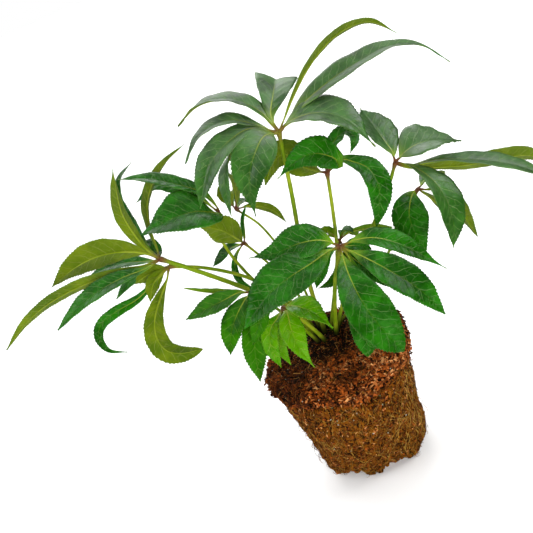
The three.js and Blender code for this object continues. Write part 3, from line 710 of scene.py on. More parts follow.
@dataclass(frozen=True)
class LaminaSkin:
    """The waxy skin of a leaf blade, over green tissue with a paler net of veins.

    The wax gives the eye a satin gloss, the veins a fine relief with pale thin lines, and the
    tissue a saturated green that wanders from place to place. A grey sheen is painted on
    what lies level, standing in for the light above mirrored in the wax.
    """

    name: str
    deep: str
    bright: str
    vein: str
    foot: str
    vein_share: float
    roughness: float
    relief: float  # how far the veins stand out in millimetres; below 0 they are sunk
    wax: float = 0.15  # how strongly the skin mirrors
    hairs: float = 0.0  # the sheen of fine hairs
    painted_sheen_share: float = 0.02  # how much of the painted grey sheen a level face takes
    rib: str = "#82902c"
    # the grey of the sheen painted on level faces, standing in for the light above mirrored in the
    # wax
    painted_sheen: str = "#94968c"

    def veins(self, tree: bpy.types.NodeTree) -> tuple[bpy.types.NodeSocket, ...]:
        """Draws the veins from the blade's own coordinates.

        Args:
            tree: The material's node tree.

        Returns:
            How strong the side veins and the net are, how strong the midrib is, how near the
            blade's foot is, and the leaflet's own tint.
        """
        across, walked, phase = parts_of(tree, "lamina")
        to_margin, to_tip, tint = parts_of(tree, "leaflet")
        flat = add(tree, "CombineXYZ", None, {0: across, 1: walked}).outputs[0]

        # the side veins stray from their even spacing of about 8 mm
        stray = add(tree, "TexNoise", None, {"Vector": flat, "Scale": 0.12})
        strayed = add(tree, "Math", MULTIPLY_ADD, {0: stray.outputs["Fac"], 1: 0.7, 2: phase})
        from_vein = add(tree, "Math", {"operation": "PINGPONG"}, {0: strayed.outputs[0], 1: 0.5})
        line = add(tree, "MapRange", SMOOTH,
                   {VALUE: from_vein.outputs[0], START: 0.06, STOP: 0.01})
        # they thin out towards the margin
        fade = add(tree, "MapRange", SMOOTH, {VALUE: to_margin, START: 1.05, STOP: 0.4})
        side_vein = add(tree, "Math", MULTIPLY, {0: line.outputs[0], 1: fade.outputs[0]})
        # the net between them has uneven meshes of about 5 mm, and comes and goes
        wander = add(tree, "TexNoise", None, {"Vector": flat, "Scale": 0.5})
        bent = add(tree, "VectorMath", MULTIPLY_ADD,
                   {0: wander.outputs["Color"], 1: (1.0, 1.0, 1.0), 2: flat})
        cells = add(tree, "TexVoronoi", {"feature": "DISTANCE_TO_EDGE"},
                    {"Vector": bent.outputs[0], "Scale": 0.2})
        clear = add(tree, "MapRange", SMOOTH,
                    {VALUE: stray.outputs["Fac"], START: 0.42, STOP: 0.62, LOW: 0.08, HIGH: 0.55})
        net = add(tree, "MapRange", SMOOTH,
                  {VALUE: cells.outputs["Distance"], START: 0.06, STOP: 0.005,
                   HIGH: clear.outputs[0]})
        # a fine pale line follows the teeth
        margin = add(tree, "MapRange", None, {VALUE: to_margin, START: 0.95, STOP: 1.0, HIGH: 0.7})
        paler = add(tree, "Math", MAXIMUM, {0: margin.outputs[0], 1: net.outputs[0]})
        strongest = add(tree, "Math", MAXIMUM, {0: side_vein.outputs[0], 1: paler.outputs[0]})

        # the midrib is about 1.1 mm wide at its foot, and thinner and fainter towards the tip
        away = add(tree, "Math", {"operation": "ABSOLUTE"}, {0: across})
        slim = add(tree, "Math", MULTIPLY_ADD, {0: to_tip, 1: 0.6, 2: away.outputs[0]})
        ridge = add(tree, "MapRange", SMOOTH, {VALUE: slim.outputs[0], START: 0.8, STOP: 0.3})
        dim = add(tree, "MapRange", None,
                  {VALUE: to_tip, START: 0.2, STOP: 0.5, LOW: 1.0, HIGH: 0.15})
        midrib = add(tree, "Math", MULTIPLY, {0: ridge.outputs[0], 1: dim.outputs[0]})
        near_foot = add(tree, "MapRange", SMOOTH,
                        {VALUE: to_tip, START: 0.2, STOP: 0.0, HIGH: 0.85})
        return strongest.outputs[0], midrib.outputs[0], near_foot.outputs[0], tint

    def build(self) -> bpy.types.Material:
        """Makes the material."""
        finish, tree, surface = new_material(self.name)
        veins, midrib, near_foot, tint = self.veins(tree)
        place = add(tree, "TexCoord").outputs["Object"]

        mottle = add(tree, "TexNoise", None,
                     {"Vector": place, "Scale": 60.0, "Detail": 7.0, "Roughness": 0.62})
        cloud = add(tree, "MapRange", SMOOTH,
                    {VALUE: mottle.outputs["Fac"], START: 0.36, STOP: 0.66})
        lively = add(tree, "MapRange", None, {VALUE: tint, HIGH: 0.5})
        faint = add(tree, "Math", MULTIPLY, {0: veins, 1: self.vein_share})
        # a grey sheen is painted on the faces that lie level, standing in for the light above
        # mirrored in the wax
        level = add(tree, "Attribute", {"attribute_name": "level"})
        painted_sheen_mask = add(tree, "Math", MULTIPLY, {0: level.outputs["Fac"], 1: self.painted_sheen_share})
        colour = coated(
            tree, self.deep, (cloud, self.bright), (lively, self.bright), (faint, self.vein),
            (near_foot, self.foot), (midrib, self.rib), (painted_sheen_mask, self.painted_sheen),
        )
        # the veins are raised or sunk, and the skin between them is faintly blistered
        height = add(tree, "Math", MULTIPLY_ADD, {0: mottle.outputs["Fac"], 1: 0.8, 2: veins})
        bump = add(tree, "Bump", {"invert": self.relief < 0},
                   {"Height": height.outputs[0], "Strength": 0.7,
                    "Distance": abs(self.relief) * MM})
        worn = add(tree, "MapRange", None,
                   {VALUE: mottle.outputs["Fac"], START: 0.3, STOP: 0.7,
                    LOW: self.roughness - 0.05, HIGH: self.roughness + 0.08})
        feed(tree, surface, {
            "Base Color": colour, "Normal": bump.outputs[0], "Roughness": worn.outputs[0],
            "Specular IOR Level": self.wax, "IOR": 1.48,
            "Sheen Weight": self.hairs, "Sheen Roughness": 0.5,
            "Subsurface Weight": 0.08, "Subsurface Radius": (0.4, 1.0, 0.1),
            "Subsurface Scale": 0.7 * MM,
        })
        return finish


@dataclass(frozen=True)
class StemSkin:
    """The smooth skin of a petiole or a midrib.

    It gives the eye a fleshy satin green, flecked with brown, that turns a dull purple-brown
    where leaflets join, and near black at the petiole's foot, partly soil and partly painted
    shade.
    """

    name: str
    pale: str
    green: str
    flush: str
    speck: str
    # the near black of soil and painted shade at the petiole's foot
    foot_shade_and_soil: str = "#0c0702"

    def build(self) -> bpy.types.Material:
        """Makes the material. The flush attribute is 1 for purple-brown skin, -1 for soil and
        painted shade.
        """
        finish, tree, surface = new_material(self.name)
        place = add(tree, "TexCoord").outputs["Object"]
        flush = add(tree, "Attribute", {"attribute_name": "flush"}).outputs["Fac"]
        drawn = add(tree, "TexNoise", None,
                    {"Vector": place, "Scale": 90.0, "Detail": 3.0}).outputs["Fac"]
        shade = add(tree, "MapRange", SMOOTH, {VALUE: drawn, START: 0.35, STOP: 0.65})
        dots = add(tree, "TexVoronoi", None, {"Vector": place, "Scale": 700.0})
        speck = add(tree, "MapRange", SMOOTH,
                    {VALUE: dots.outputs["Distance"], START: 0.24, STOP: 0.14, HIGH: 0.45})
        uneven = add(tree, "MapRange", SMOOTH, {VALUE: drawn, START: 0.1, STOP: 0.5})
        patchy = add(tree, "Math", MULTIPLY, {0: flush, 1: uneven.outputs[0]})
        # towards the foot the skin is painted near black, for soil and for the shade among the
        # stems
        shaded_and_soiled = add(tree, "MapRange", SMOOTH, {VALUE: flush, START: 0.0, STOP: -1.0, HIGH: 0.97})
        colour = coated(tree, self.pale, (shade, self.green), (speck, self.speck),
                        (patchy, self.flush), (shaded_and_soiled, self.foot_shade_and_soil))
        dull = add(tree, "MapRange", None, {VALUE: shaded_and_soiled.outputs[0], LOW: 0.42, HIGH: 0.95})
        bump = add(tree, "Bump", None, {"Height": drawn, "Strength": 0.3, "Distance": 0.2 * MM})
        feed(tree, surface, {
            "Base Color": colour, "Roughness": dull.outputs[0], "Normal": bump.outputs[0],
            "Specular IOR Level": 0.25, "IOR": 1.45, "Subsurface Weight": 0.1,
            "Subsurface Radius": (0.6, 1.0, 0.2), "Subsurface Scale": 1.0 * MM,
        })
        return finish


@dataclass(frozen=True)
class DryFibre:
    """Coir, bark, roots or perlite, each bit tinted between a dark and a pale end.

    It gives the eye dull dry crumbs with no shine, and specks of grime over them.
    """

    name: str
    dark: str
    middle: str
    pale: str
    roughness: float = 0.95

    def build(self) -> bpy.types.Material:
        """Makes the material. The tint attribute runs from 0, dark, to 1, pale."""
        finish, tree, surface = new_material(self.name)
        tint = add(tree, "Attribute", {"attribute_name": "tint"}).outputs["Fac"]
        place = add(tree, "TexCoord").outputs["Object"]
        low = add(tree, "MapRange", SMOOTH, {VALUE: tint, START: 0.0, STOP: 0.5})
        high = add(tree, "MapRange", SMOOTH, {VALUE: tint, START: 0.5, STOP: 1.0})
        grime = add(tree, "TexNoise", None, {"Vector": place, "Scale": 420.0, "Detail": 3.0})
        dirt = add(tree, "MapRange", SMOOTH,
                   {VALUE: grime.outputs["Fac"], START: 0.6, STOP: 0.38, HIGH: 0.5})
        colour = coated(tree, self.dark, (low, self.middle), (high, self.pale), (dirt, self.dark))
        feed(tree, surface, {
            "Base Color": colour, "Roughness": self.roughness, "Specular IOR Level": 0.2,
        })
        return finish


@dataclass(frozen=True)
class PottingCore:
    """Moist potting fibre under the loose bits.

    It gives the eye near black painted shade in the gaps between the chips of the lip, an
    olive-brown mat with drawn strands on the wall, and near black soil round the crown.
    """

    name: str = "moist_potting_fibre"
    # the near black of the shade painted in the gaps
    gap_shade: str = "#0a0401"
    coir: str = "#491c08"
    mat: str = "#683806"
    strand: str = "#91661c"

    def build(self) -> bpy.types.Material:
        """Makes the material. The rise attribute is the height over the mat's edge."""
        finish, tree, surface = new_material(self.name)
        place = add(tree, "TexCoord").outputs["Object"]
        rise = add(tree, "Attribute", {"attribute_name": "rise"})
        broad = add(tree, "TexNoise", None, {"Vector": place, "Scale": 60.0, "Detail": 5.0})
        level = add(tree, "Math", MULTIPLY_ADD,
                    {0: broad.outputs["Fac"], 1: 0.03, 2: rise.outputs["Fac"]})
        band = add(tree, "MapRange", SMOOTH,
                   {VALUE: level.outputs[0], START: 6 * MM, STOP: 22 * MM})
        grain = add(tree, "TexNoise", None,
                    {"Vector": place, "Scale": 420.0, "Detail": 5.0}).outputs["Fac"]
        # fine noise lays near black specks of painted shade, where the gaps between crumbs lie
        gap = add(tree, "MapRange", SMOOTH, {VALUE: grain, START: 0.54, STOP: 0.42, HIGH: 0.95})
        # strands about 0.5 mm thick that mostly run up and down
        drawn = add(tree, "Mapping", None, {"Vector": place, "Scale": (1.0, 1.0, 0.25)})
        strands = add(tree, "TexNoise", None,
                      {"Vector": drawn.outputs[0], "Scale": 900.0, "Detail": 2.0,
                       "Distortion": 1.0})
        light = add(tree, "MapRange", SMOOTH,
                    {VALUE: strands.outputs["Fac"], START: 0.55, STOP: 0.7, HIGH: 0.6})
        colour = coated(tree, self.mat, (band, self.coir), (gap, self.gap_shade), (light, self.strand))
        bump = add(tree, "Bump", None, {"Height": grain, "Strength": 0.9, "Distance": 1.2 * MM})
        feed(tree, surface, {
            "Base Color": colour, "Normal": bump.outputs[0], "Roughness": 1.0,
            "Specular IOR Level": 0.15,
        })
        return finish


@dataclass(frozen=True)
class PaleFloor:
    """Matt white paint on a studio floor, which gives the eye a bare white ground."""

    name: str = "matt_white_floor"
    colour: str = "#fafafa"

    def build(self) -> bpy.types.Material:
        """Makes the material."""
        finish, tree, surface = new_material(self.name)
        feed(tree, surface, {
            "Base Color": tone(self.colour), "Roughness": 0.95, "Specular IOR Level": 0.1,
        })
        return finish


# ------------------------------------------------------------------------------- leaves


@dataclass
class LeafFan:
    """The leaflets of one leaf, with their midribs, joined at the petiole's end.

    Sizes are in millimetres.
    """

    thickness: float = 0.5
    stalk_share: float = 0.08
    least_half_width: float = 0.25
    foot_fullness: float = 1.2
    fold: float = math.radians(13)
    cup: float = 0.85  # how much of the fold bends back towards the margin
    wave: float = 0.035  # shares of the width
    frill: float = 0.012
    tooth: float = 2.4
    tooth_depth: float = 0.46
    margin_power: int = 7  # the higher, the nearer to the margin the teeth begin
    cells: int = 14
    vein_gap: float = 8.0
    quilting: float = 0.55
    old_quilting: float = 0.5  # the share of it that an old leaf keeps
    full_relief: float = 7.0  # half the width from which teeth are at their full depth
    turn_step: float = 2.4
    rib_radius: float = 0.85
    rib_tip: float = 0.1
    rib_sides: int = 8
    rib_ring_gap: float = 3.0
    flush_reach: tuple[float, float] = (2, 11)

    def outline(self, form: Form, share: float) -> float:
        """Half the blade's width at a share of its length, as a share of the widest."""
        if not 0 < share < 1:
            return 0.0
        tip_fullness = self.foot_fullness * (1 - form.value) / form.value
        foot = (share / form.value) ** self.foot_fullness
        return foot * ((1 - share) / (1 - form.value)) ** tip_fullness

    @staticmethod
    def frame_at(line: Midline, spec: Leaflet, share: float) -> tuple[Vector, Vector, Vector]:
        """The directions along, across and out of a blade's upper face."""
        along = line.along(share)
        foot = BOARD.heading(spec.foot_face).normalized()
        up = foot.lerp(BOARD.heading(spec.tip_face).normalized(), share)
        up = (up - along * up.dot(along)).normalized()
        return along, along.cross(up), up

    def line_of(self, leaf: Leaf, spec: Leaflet) -> Midline:
        """The line of a leaflet's midrib, from the hub to its tip."""
        places = [BOARD.place((a, u, leaf.hub[2] + t)) for a, u, t in spec.rib]
        return Midline([BOARD.place(leaf.hub), *places], Pace.EVEN)

    def blade(self, bm: bmesh.types.BMesh, leaf: Leaf, index: int, dice: random.Random) -> None:
        """Adds one leaflet's blade, a toothed, folded and quilted sheet.

        Args:
            bm: The mesh that takes it.
            leaf: The leaf that it belongs to.
            index: Which leaflet it is.
            dice: The source of what differs between leaflets.
        """
        spec = leaf.leaflets[index]
        line = self.line_of(leaf, spec)
        length = line.length / MM
        rows = 2 * max(6, round(length / self.tooth))
        lamina = bm.verts.layers.float_vector["lamina"]
        facts = bm.verts.layers.float_vector["leaflet"]
        level = bm.verts.layers.float["level"]
        turn, tint, lively = self.turn_step * index, dice.random(), dice.uniform(0, 6)
        veins = max(5, round(length / self.vein_gap))
        quilting = self.quilting * (self.old_quilting if leaf.age is Age.OLD else 1)
        grid = bmesh.ops.create_grid(bm, x_segments=self.cells, y_segments=rows, size=1)["verts"]
        first = self.stalk_share * 0.8  # the sheet starts on the stalk, out of sight
        frames = []
        for row in range(rows + 1):
            share = first + (1 - first) * row / rows
            frames.append((share, line.at(share), *self.frame_at(line, spec, share)))
        for vert in grid:
            u, row = vert.co.x, round((vert.co.y + 1) / 2 * rows)
            share, middle, along, side, up = frames[row]
            on_blade = (share - self.stalk_share) / (1 - self.stalk_share)
            half = max(spec.width / 2 * self.outline(spec.form, on_blade), self.least_half_width)
            way = 1 if u > 0 else -1
            out = abs(u) * half
            # teeth of uneven depth lean forwards, from near the foot to near the tip
            outer = abs(u) ** self.margin_power
            toothed = ease(0.1, 0.3, on_blade) * (1 - ease(0.93, 0.99, on_blade))
            uneven = 0.8 + 0.6 * math.sin(2.7 * row + lively + way) * math.sin(0.37 * row + turn)
            deep = self.tooth_depth * uneven * min(1.0, half / self.full_relief) * toothed * outer
            tooth = deep * (1 if row % 2 else -1)
            lean = 0.5 * length / rows * outer * toothed * (1 if row % 2 else -0.2)
            # the halves rise from the midrib and bend back, with slow waves and a quick frill
            rising = (1 + self.cup) * math.sin(self.fold) * abs(u)
            lift = half * (rising - self.cup * math.sin(self.fold) * u * u)
            ripple = self.wave * spec.width * math.sin(9 * on_blade + turn + way) * on_blade
            frill = self.frill * spec.width * math.sin(34 * on_blade + lively + 2 * way) * u * u
            # the skin is quilted between side veins, which sweep forwards from the midrib
            phase = veins * on_blade - (1.15 * out - 0.008 * out * out) / length * veins
            pillow = math.sin(math.pi * phase) ** 2 * ease(0.02, 0.25, abs(u))
            quilt = quilting * (pillow - 0.4) * (1 - ease(0.7, 1, abs(u))) * min(1, half / 8)
            rise = lift + ripple * u * u + frill * toothed + quilt
            reach = way * (out + tooth) * math.cos(self.fold)
            vert[lamina] = Vector((way * out, share * length, phase))
            vert[facts] = Vector((abs(u), on_blade, tint))
            # how level the blade lies, which sets how much painted grey sheen it takes
            vert[level] = ease(0.6, 0.95, up.z)
            vert.co = middle + (side * reach + up * rise + along * lean) * MM

    def rib(self, bm: bmesh.types.BMesh, leaf: Leaf, spec: Leaflet) -> None:
        """Adds one leaflet's stalk, which runs on under the blade as its midrib."""
        line = self.line_of(leaf, spec)
        flush = bm.verts.layers.float["flush"]
        rings = max(14, round(line.length / MM / self.rib_ring_gap))
        stations = []
        for ring in range(rings + 1):
            share = 0.97 * max(0, ring - 1) / (rings - 1)
            _, side, up = self.frame_at(line, spec, share)
            slim = min(1.0, spec.width / 22)
            radius = self.rib_radius * (0.6 + 0.4 * slim) * (1 - share) ** 0.9 + self.rib_tip
            radius *= 0 if ring in (0, rings) else 1 + 0.7 * (1 - ease(0, 0.07, share))
            sink = (0.15 + 0.85 * radius) * ease(0.03, 0.14, share)
            middle = line.at(share) - up * sink * MM
            stations.append(Station(middle, side, up, radius * MM, radius * 0.9 * MM))
        for vert in roll_tube(bm, stations, self.rib_sides):
            walked = (vert.co - line.at(0)).length / MM
            vert[flush] = 1 - ease(*self.flush_reach, walked)

    def build(self, leaf: Leaf, skins: Sequence[bpy.types.Material]) -> None:
        """Makes one leaf's blades and midribs.

        Args:
            leaf: The leaf of the layout.
            skins: The blade's upper skin, its underside and the midrib's skin.
        """
        dice = random.Random(leaf.name)
        blades = bmesh.new()
        blades.verts.layers.float_vector.new("lamina")
        blades.verts.layers.float_vector.new("leaflet")
        blades.verts.layers.float.new("level")
        ribs = bmesh.new()
        ribs.verts.layers.float.new("flush")
        for index, spec in enumerate(leaf.leaflets):
            self.blade(blades, leaf, index, dice)
            self.rib(ribs, leaf, spec)
        sheet = piece_from(blades, f"{leaf.name}_blades", skins[:2])
        wall = sheet.modifiers.new("thickness", "SOLIDIFY")
        wall.thickness = self.thickness * MM
        wall.offset = 0
        wall.material_offset = 1
        declare(sheet, leaf.age.slot, f"{leaf.name}_leaflets")
        declare(piece_from(ribs, f"{leaf.name}_midribs", skins[2:]), leaf.age.slot)


@dataclass
class Petiole:
    """A leaf's stem: an oval tube with a sheath at its foot and a knot at its end.

    Sizes are in millimetres. A reach is where a colour begins to fade and where it has gone.
    """

    depth: float = 16
    splay: float = 0.35  # how much nearer together the feet are when they are buried
    knot_length: float = 6
    knot_swell: float = 0.75
    fit_gap: float = 0.35
    overlap: float = 1.4
    fullness: float = 1.04
    sheath_length: float = 22
    sides: int = 14
    ring_gap: float = 1.6
    flush_reach: tuple[float, float] = (2, 11)
    # how far up from the ball the foot is painted near black, for soil and painted shade
    soil_and_shade_reach: tuple[float, float] = (6, 28)

    def line_of(self, leaf: Leaf) -> Midline:
        """The petiole's line, from its buried foot to the middle of its knot."""
        x, y = leaf.foot
        surface = Vector((CROWN[0] + x, CROWN[1] + y, BALL_HEIGHT + MOUND / 2))
        buried = surface - Vector((x, y, 0)) * self.splay - Vector((0, 0, self.depth))
        knot = BOARD.place(leaf.hub)
        last = BOARD.place(leaf.via[0])
        below = knot + (last - knot).normalized() * (self.knot_length / 2 + self.fit_gap) * MM
        stations = [BOARD.place(spot) for spot in reversed(leaf.via)]
        end = knot + (knot - last).normalized() * self.overlap * MM
        return Midline([buried * MM, surface * MM, *stations, below, end], Pace.CENTRIPETAL)

    def build(self, leaf: Leaf, skin: bpy.types.Material) -> None:
        """Makes one petiole with its knot.

        Args:
            leaf: The leaf that it carries.
            skin: Its material.
        """
        line = self.line_of(leaf)
        length = line.length / MM
        rings = max(40, round(length / self.ring_gap))
        points = [line.at(ring / rings) for ring in range(rings + 1)]
        stations = []
        sway = random.Random(leaf.name + "stem").uniform(0, 6)
        for ring, (point, (side, up)) in enumerate(zip(points, carried_frames(points))):
            walked, left = length * ring / rings, length * (1 - ring / rings)
            sheath = 1 - ease(self.depth, self.depth + self.sheath_length, walked)
            knot = 1 - ease(1.5, 6.5, left)
            # it tapers, swells a little here and there, and is rounded off at its end
            radius = leaf.radius * self.fullness * (1.1 - 0.2 * ring / rings)
            radius *= 1 + 0.12 * sheath + 0.03 * math.sin(walked * 0.55 + sway)
            radius += self.knot_swell * knot
            radius *= math.sqrt(max(0.0, 1 - (1 - min(1.0, left / 1.2)) ** 2))
            if ring == 0:
                radius = 0
            wide = radius * (1 + 0.25 * sheath)
            stations.append(Station(point, side, up, wide * MM, radius * 0.94 * MM))
        bm = bmesh.new()
        flush = bm.verts.layers.float.new("flush")
        for vert in roll_tube(bm, stations, self.sides):
            left = (vert.co - points[-1]).length / MM
            sunk = vert.co.z / MM - BALL_HEIGHT
            # the foot is painted near black, partly soil and partly the shade round the crown
            purple, shaded_and_soiled = 1 - ease(*self.flush_reach, left), 1 - ease(*self.soil_and_shade_reach, sunk)
            vert[flush] = purple - shaded_and_soiled
        made = piece_from(bm, f"{leaf.name}_stem", (skin,))
        declare(made, "petiole", f"{leaf.name}_petiole")


# ------------------------------------------------------------------------------- root ball


def bell(away: float, width: float) -> float:
    """A bump that is 1 in its middle and falls off over a width."""
    return math.exp(-((away / width) ** 2))


def apart(angle: float, other: float) -> float:
    """The turn from one angle to another, the short way round."""
    return math.remainder(angle - other, math.tau)


@dataclass
class RootBall:
    """The block of coir and roots that kept the shape of the pot.

    Sizes are in millimetres and angles in radians round the axis, from +X.
    """

    height: float = BALL_HEIGHT
    lip: float = 57.5
    waist: float = 54
    base: float = 43
    flat: float = 39
    sway: float = -4.5
    roughness: float = 2
    lip_droop: float = 3
    # the side where the lip's chips are painted dark, as shadow
    shadow_side: float = math.radians(196)
    shoulder: float = math.radians(12)
    mat_top: float = 90
    full_mat: float = math.radians(-35)
    bulges: tuple[tuple[float, float], ...] = ((-0.6, 3.5), (-1.5, -4.0))  # angle, and how far
    core_rings: int = 132
    core_steps: int = 230
    chip_count: int = 11500
    top_share: float = 0.35  # of the chips, those on the top
    loose_share: float = 0.66  # of the chips, those on the top or the lip
    root_count: int = 2300
    long_root_count: int = 70
    fibre_count: int = 4200
    grain_count: int = 190
    seed: int = 7

    def __post_init__(self) -> None:
        """Measures the outline once."""
        lip, waist, base, top = self.lip, self.waist, self.base, self.height
        self._outline = np.array([
            (0, 0.4), (self.flat / 2, 0.4), (self.flat, 0.4), (base, 4), (base + 2, 16),
            (base + 5, 34), (base + 8.5, 52), (waist - 2, 70), (waist, 83), (lip - 3, 88),
            (lip, 93), (lip, 99), (lip - 4, 104), (lip - 10, top), (38, top + 1.5),
            (26, top + 3), (14, top + 5.5), (0, top + MOUND),
        ])
        steps = np.linalg.norm(np.diff(self._outline, axis=0), axis=1)
        self._walked = np.concatenate([[0], np.cumsum(steps)])
        self.girth = float(self._walked[-1])

    def droop(self, angle: float) -> float:
        """How far the lip's lower edge hangs below its mean height at an angle."""
        return self.lip_droop * (0.7 * math.sin(2 * angle + 0.6) + 0.6 * math.sin(5 * angle + 1))

    def mat_edge(self, angle: float) -> float:
        """The height where the mat of roots gives way to loose husk, at an angle."""
        return self.mat_top + 9 * bell(apart(angle, self.full_mat), 0.65)

    def lumps(self, angle: float, height: float) -> float:
        """How far the wall stands in or out, in broad lumps."""
        broad = math.sin(3 * angle + 0.06 * height) + math.sin(5 * angle - 0.11 * height + 2)
        fine = math.sin(11 * angle + 0.3 * height) * math.sin(0.27 * height + 4 * angle)
        return self.roughness * (0.45 * broad + 0.7 * fine)

    def crumbs(self, smooth: Vector, angle: float, height: float) -> float:
        """How far the crumbs and the shadowed groove under the lip move the skin."""
        high = ease(self.height * 0.76, self.height * 0.84, height)
        crumbs = 1.3 * noise.fractal(smooth / 9, 1.0, 2.0, 3) + 0.6 * noise.noise(smooth / 1.7)
        crumbs += (0.9 + 1.5 * high) * noise.noise(smooth / 3.4 + Vector((9, 0, 0)))
        groove = self.mat_edge(angle) - 5.5
        return crumbs - (2.4 - 0.25 * (groove - self.mat_top)) * bell(height - groove, 2.6)

    def torn(self, angle: float, radius: float, height: float) -> float:
        """How far up the base's edge is torn, where bits of the mat are gone."""
        round_it = Vector((math.cos(angle), math.sin(angle), 0))
        torn = 3.8 * ease(0.0, 0.08, noise.noise(round_it * 2.6 + Vector((1.7, 3.1, 0.5))))
        torn += 3 * ease(0.0, 0.08, noise.noise(round_it * 7 + Vector((5.2, 8.1, 0.5))))
        torn *= (1 - ease(0, 16, height)) * ease(self.flat - 9, self.flat, radius)
        return torn

    def spot(self, angle: float, walked: float, rough: float = 1.0) -> Vector:
        """A place on the ball's skin.

        Args:
            angle: The place's angle round the axis.
            walked: How far it is along the outline, from the middle of the base.
            rough: The share of the fine crumbs in its relief.

        Returns:
            The place in millimetres.
        """
        radius, height = (
            float(np.interp(walked, self._walked, axis)) for axis in self._outline.T
        )
        smooth = Vector((radius * math.cos(angle), radius * math.sin(angle), height))
        push = self.lumps(-angle, height) * min(1, radius / self.waist)
        push += self.crumbs(smooth, angle, height) * rough
        # a shoulder of soil on one side of the lip, and a base that lost its roundness
        heap = bell(apart(angle, self.shoulder), 0.6) * ease(86, 93, height)
        push += 4.5 * heap * min(1, radius / self.waist) ** 4
        low = 1 - ease(4, 40, height)
        for where, by in self.bulges:
            push += by * low * bell(apart(angle, where), 0.38)
        torn = self.torn(angle, radius, height)
        if height < 1:
            return smooth + Vector((0, 0, max(0.0, push * 0.4) + torn))
        slump = Vector((self.sway * min(height, self.height) / self.height, 0, 0))
        heaped = Vector((0, 0, 5 * heap * ease(24, 44, radius)))
        if height > self.height - 1:
            return smooth + slump + heaped + Vector((0, 0, 0.8 * push))
        under = self.height * 0.6 < height < self.height * 0.9
        drop = self.droop(-angle) if under else 0.0
        grown = (radius + push) / radius
        return Vector((smooth.x * grown, smooth.y * grown, height - drop + torn)) + slump + heaped

    def seat(self, angle: float, walked: float, spin: float, tip: float) -> Matrix:
        """A flat place on the skin, with its third axis outwards and turned by an angle.

        Args:
            angle: The place's angle round the axis.
            walked: How far it is along the outline.
            spin: The turn about the outward axis.
            tip: How far it then tips out of the skin.

        Returns:
            The place as a matrix in millimetres.
        """
        here = self.spot(angle, walked, 0.5)
        round_it = self.spot(angle + 0.03, walked, 0) - self.spot(angle - 0.03, walked, 0)
        up_it = self.spot(angle, walked + 1.5, 0) - self.spot(angle, walked - 1.5, 0)
        outward = round_it.cross(up_it).normalized()
        first = round_it.normalized()
        turn = Matrix((first, outward.cross(first), outward)).transposed().to_4x4()
        tilt = Matrix.Rotation(spin, 4, "Z") @ Matrix.Rotation(tip, 4, "Y")
        return Matrix.Translation(here) @ turn @ tilt

    def walk_of(self, height: float) -> float:
        """How far along the outline the wall reaches a height."""
        wall = slice(2, 14)
        return float(np.interp(height, self._outline[wall, 1], self._walked[wall]))

    def walk_on_top(self, inset: float, dice: random.Random) -> float:
        """How far along the outline a random place on the top is, clear of the lip."""
        return self.girth - (self.lip - inset) * math.sqrt(dice.random())

    def core(self) -> bpy.types.Object:
        """Makes the crumbly block itself."""
        bm = bmesh.new()
        rings = self.core_rings
        verts = [
            bmesh.ops.create_vert(bm, co=(1 if 0 < ring < rings else 0, 0, ring))["vert"][0]
            for ring in range(rings + 1)
        ]
        edges = [bm.edges.new(pair) for pair in zip(verts, verts[1:])]
        bmesh.ops.spin(bm, geom=[*verts, *edges], angle=math.tau, steps=self.core_steps,
                       axis=(0, 0, 1), cent=(0, 0, 0), use_merge=True)
        bmesh.ops.remove_doubles(bm, verts=bm.verts, dist=1e-4)
        rise = bm.verts.layers.float.new("rise")
        for vert in bm.verts:
            angle = math.atan2(vert.co.y, vert.co.x)
            spot = self.spot(angle, self.girth * vert.co.z / rings)
            vert[rise] = (spot.z - self.mat_edge(angle)) * MM
            vert.co = spot * MM
        bmesh.ops.recalc_face_normals(bm, faces=bm.faces)
        return piece_from(bm, "root_ball_core", (PottingCore().build(),))

    def chip_tint(
        self, place: Vector, angle: float, on_wall: bool, dice: random.Random
    ) -> float:
        """How pale a chip is: darker in clods, round the crown, and in painted shadow on one side
        of the lip.

        Args:
            place: Where it lies.
            angle: The place's angle round the axis.
            on_wall: Whether it lies below the lip.
            dice: The source of what differs between chips.

        Returns:
            Where it lies between the finish's dark and pale ends.
        """
        near = (place.xy - Vector(CROWN)).length
        crown = 1 - ease(24, 46, near) if place.z > self.height - 3 else 0
        clod = ease(0.05, 0.3, noise.noise(place / 16 + Vector((0, 0, 7))))
        tint = 0.4 * dice.random() ** 2 if dice.random() < 0.42 else dice.betavariate(2.2, 1.9)
        # chips on that side of the lip are darkened as painted shadow
        in_shadow = 1 - ease(0.3, 0.75, abs(apart(angle, self.shadow_side)))
        dull = (1 - 0.55 * clod) * (1 - crown) * (1 - 0.7 * in_shadow * (not on_wall))
        return tint * dull

    def chips(self, dice: random.Random) -> bpy.types.Object:
        """Makes the husk and bark chips: thick on the top and the lip, few on the wall."""
        bundle = Bundle()
        lip_top = self.walk_of(self.height - 0.1)
        for _ in range(self.chip_count):
            draw, angle = dice.random(), dice.uniform(0, math.tau)
            lip_foot = self.walk_of(self.mat_edge(angle) - 2)
            on_wall = draw >= self.loose_share
            if draw < self.top_share:
                walked = self.walk_on_top(6, dice)
            elif on_wall:
                walked = dice.uniform(self.walk_of(3), lip_foot)
            else:
                walked = dice.uniform(lip_foot - 6 * dice.random() ** 2, lip_top)
            long = dice.uniform(1.2, 3.4) if on_wall else dice.uniform(1.8, 7.5)
            wide = dice.uniform(0.5, 1.3) if on_wall else dice.uniform(0.7, 2.7)
            size = (long, wide, dice.uniform(0.3, 0.9))
            seat = self.seat(angle, walked, dice.uniform(0, math.tau), dice.gauss(0, 0.4))
            bundle.chip(seat, size, self.chip_tint(seat.translation, angle, on_wall, dice), dice)
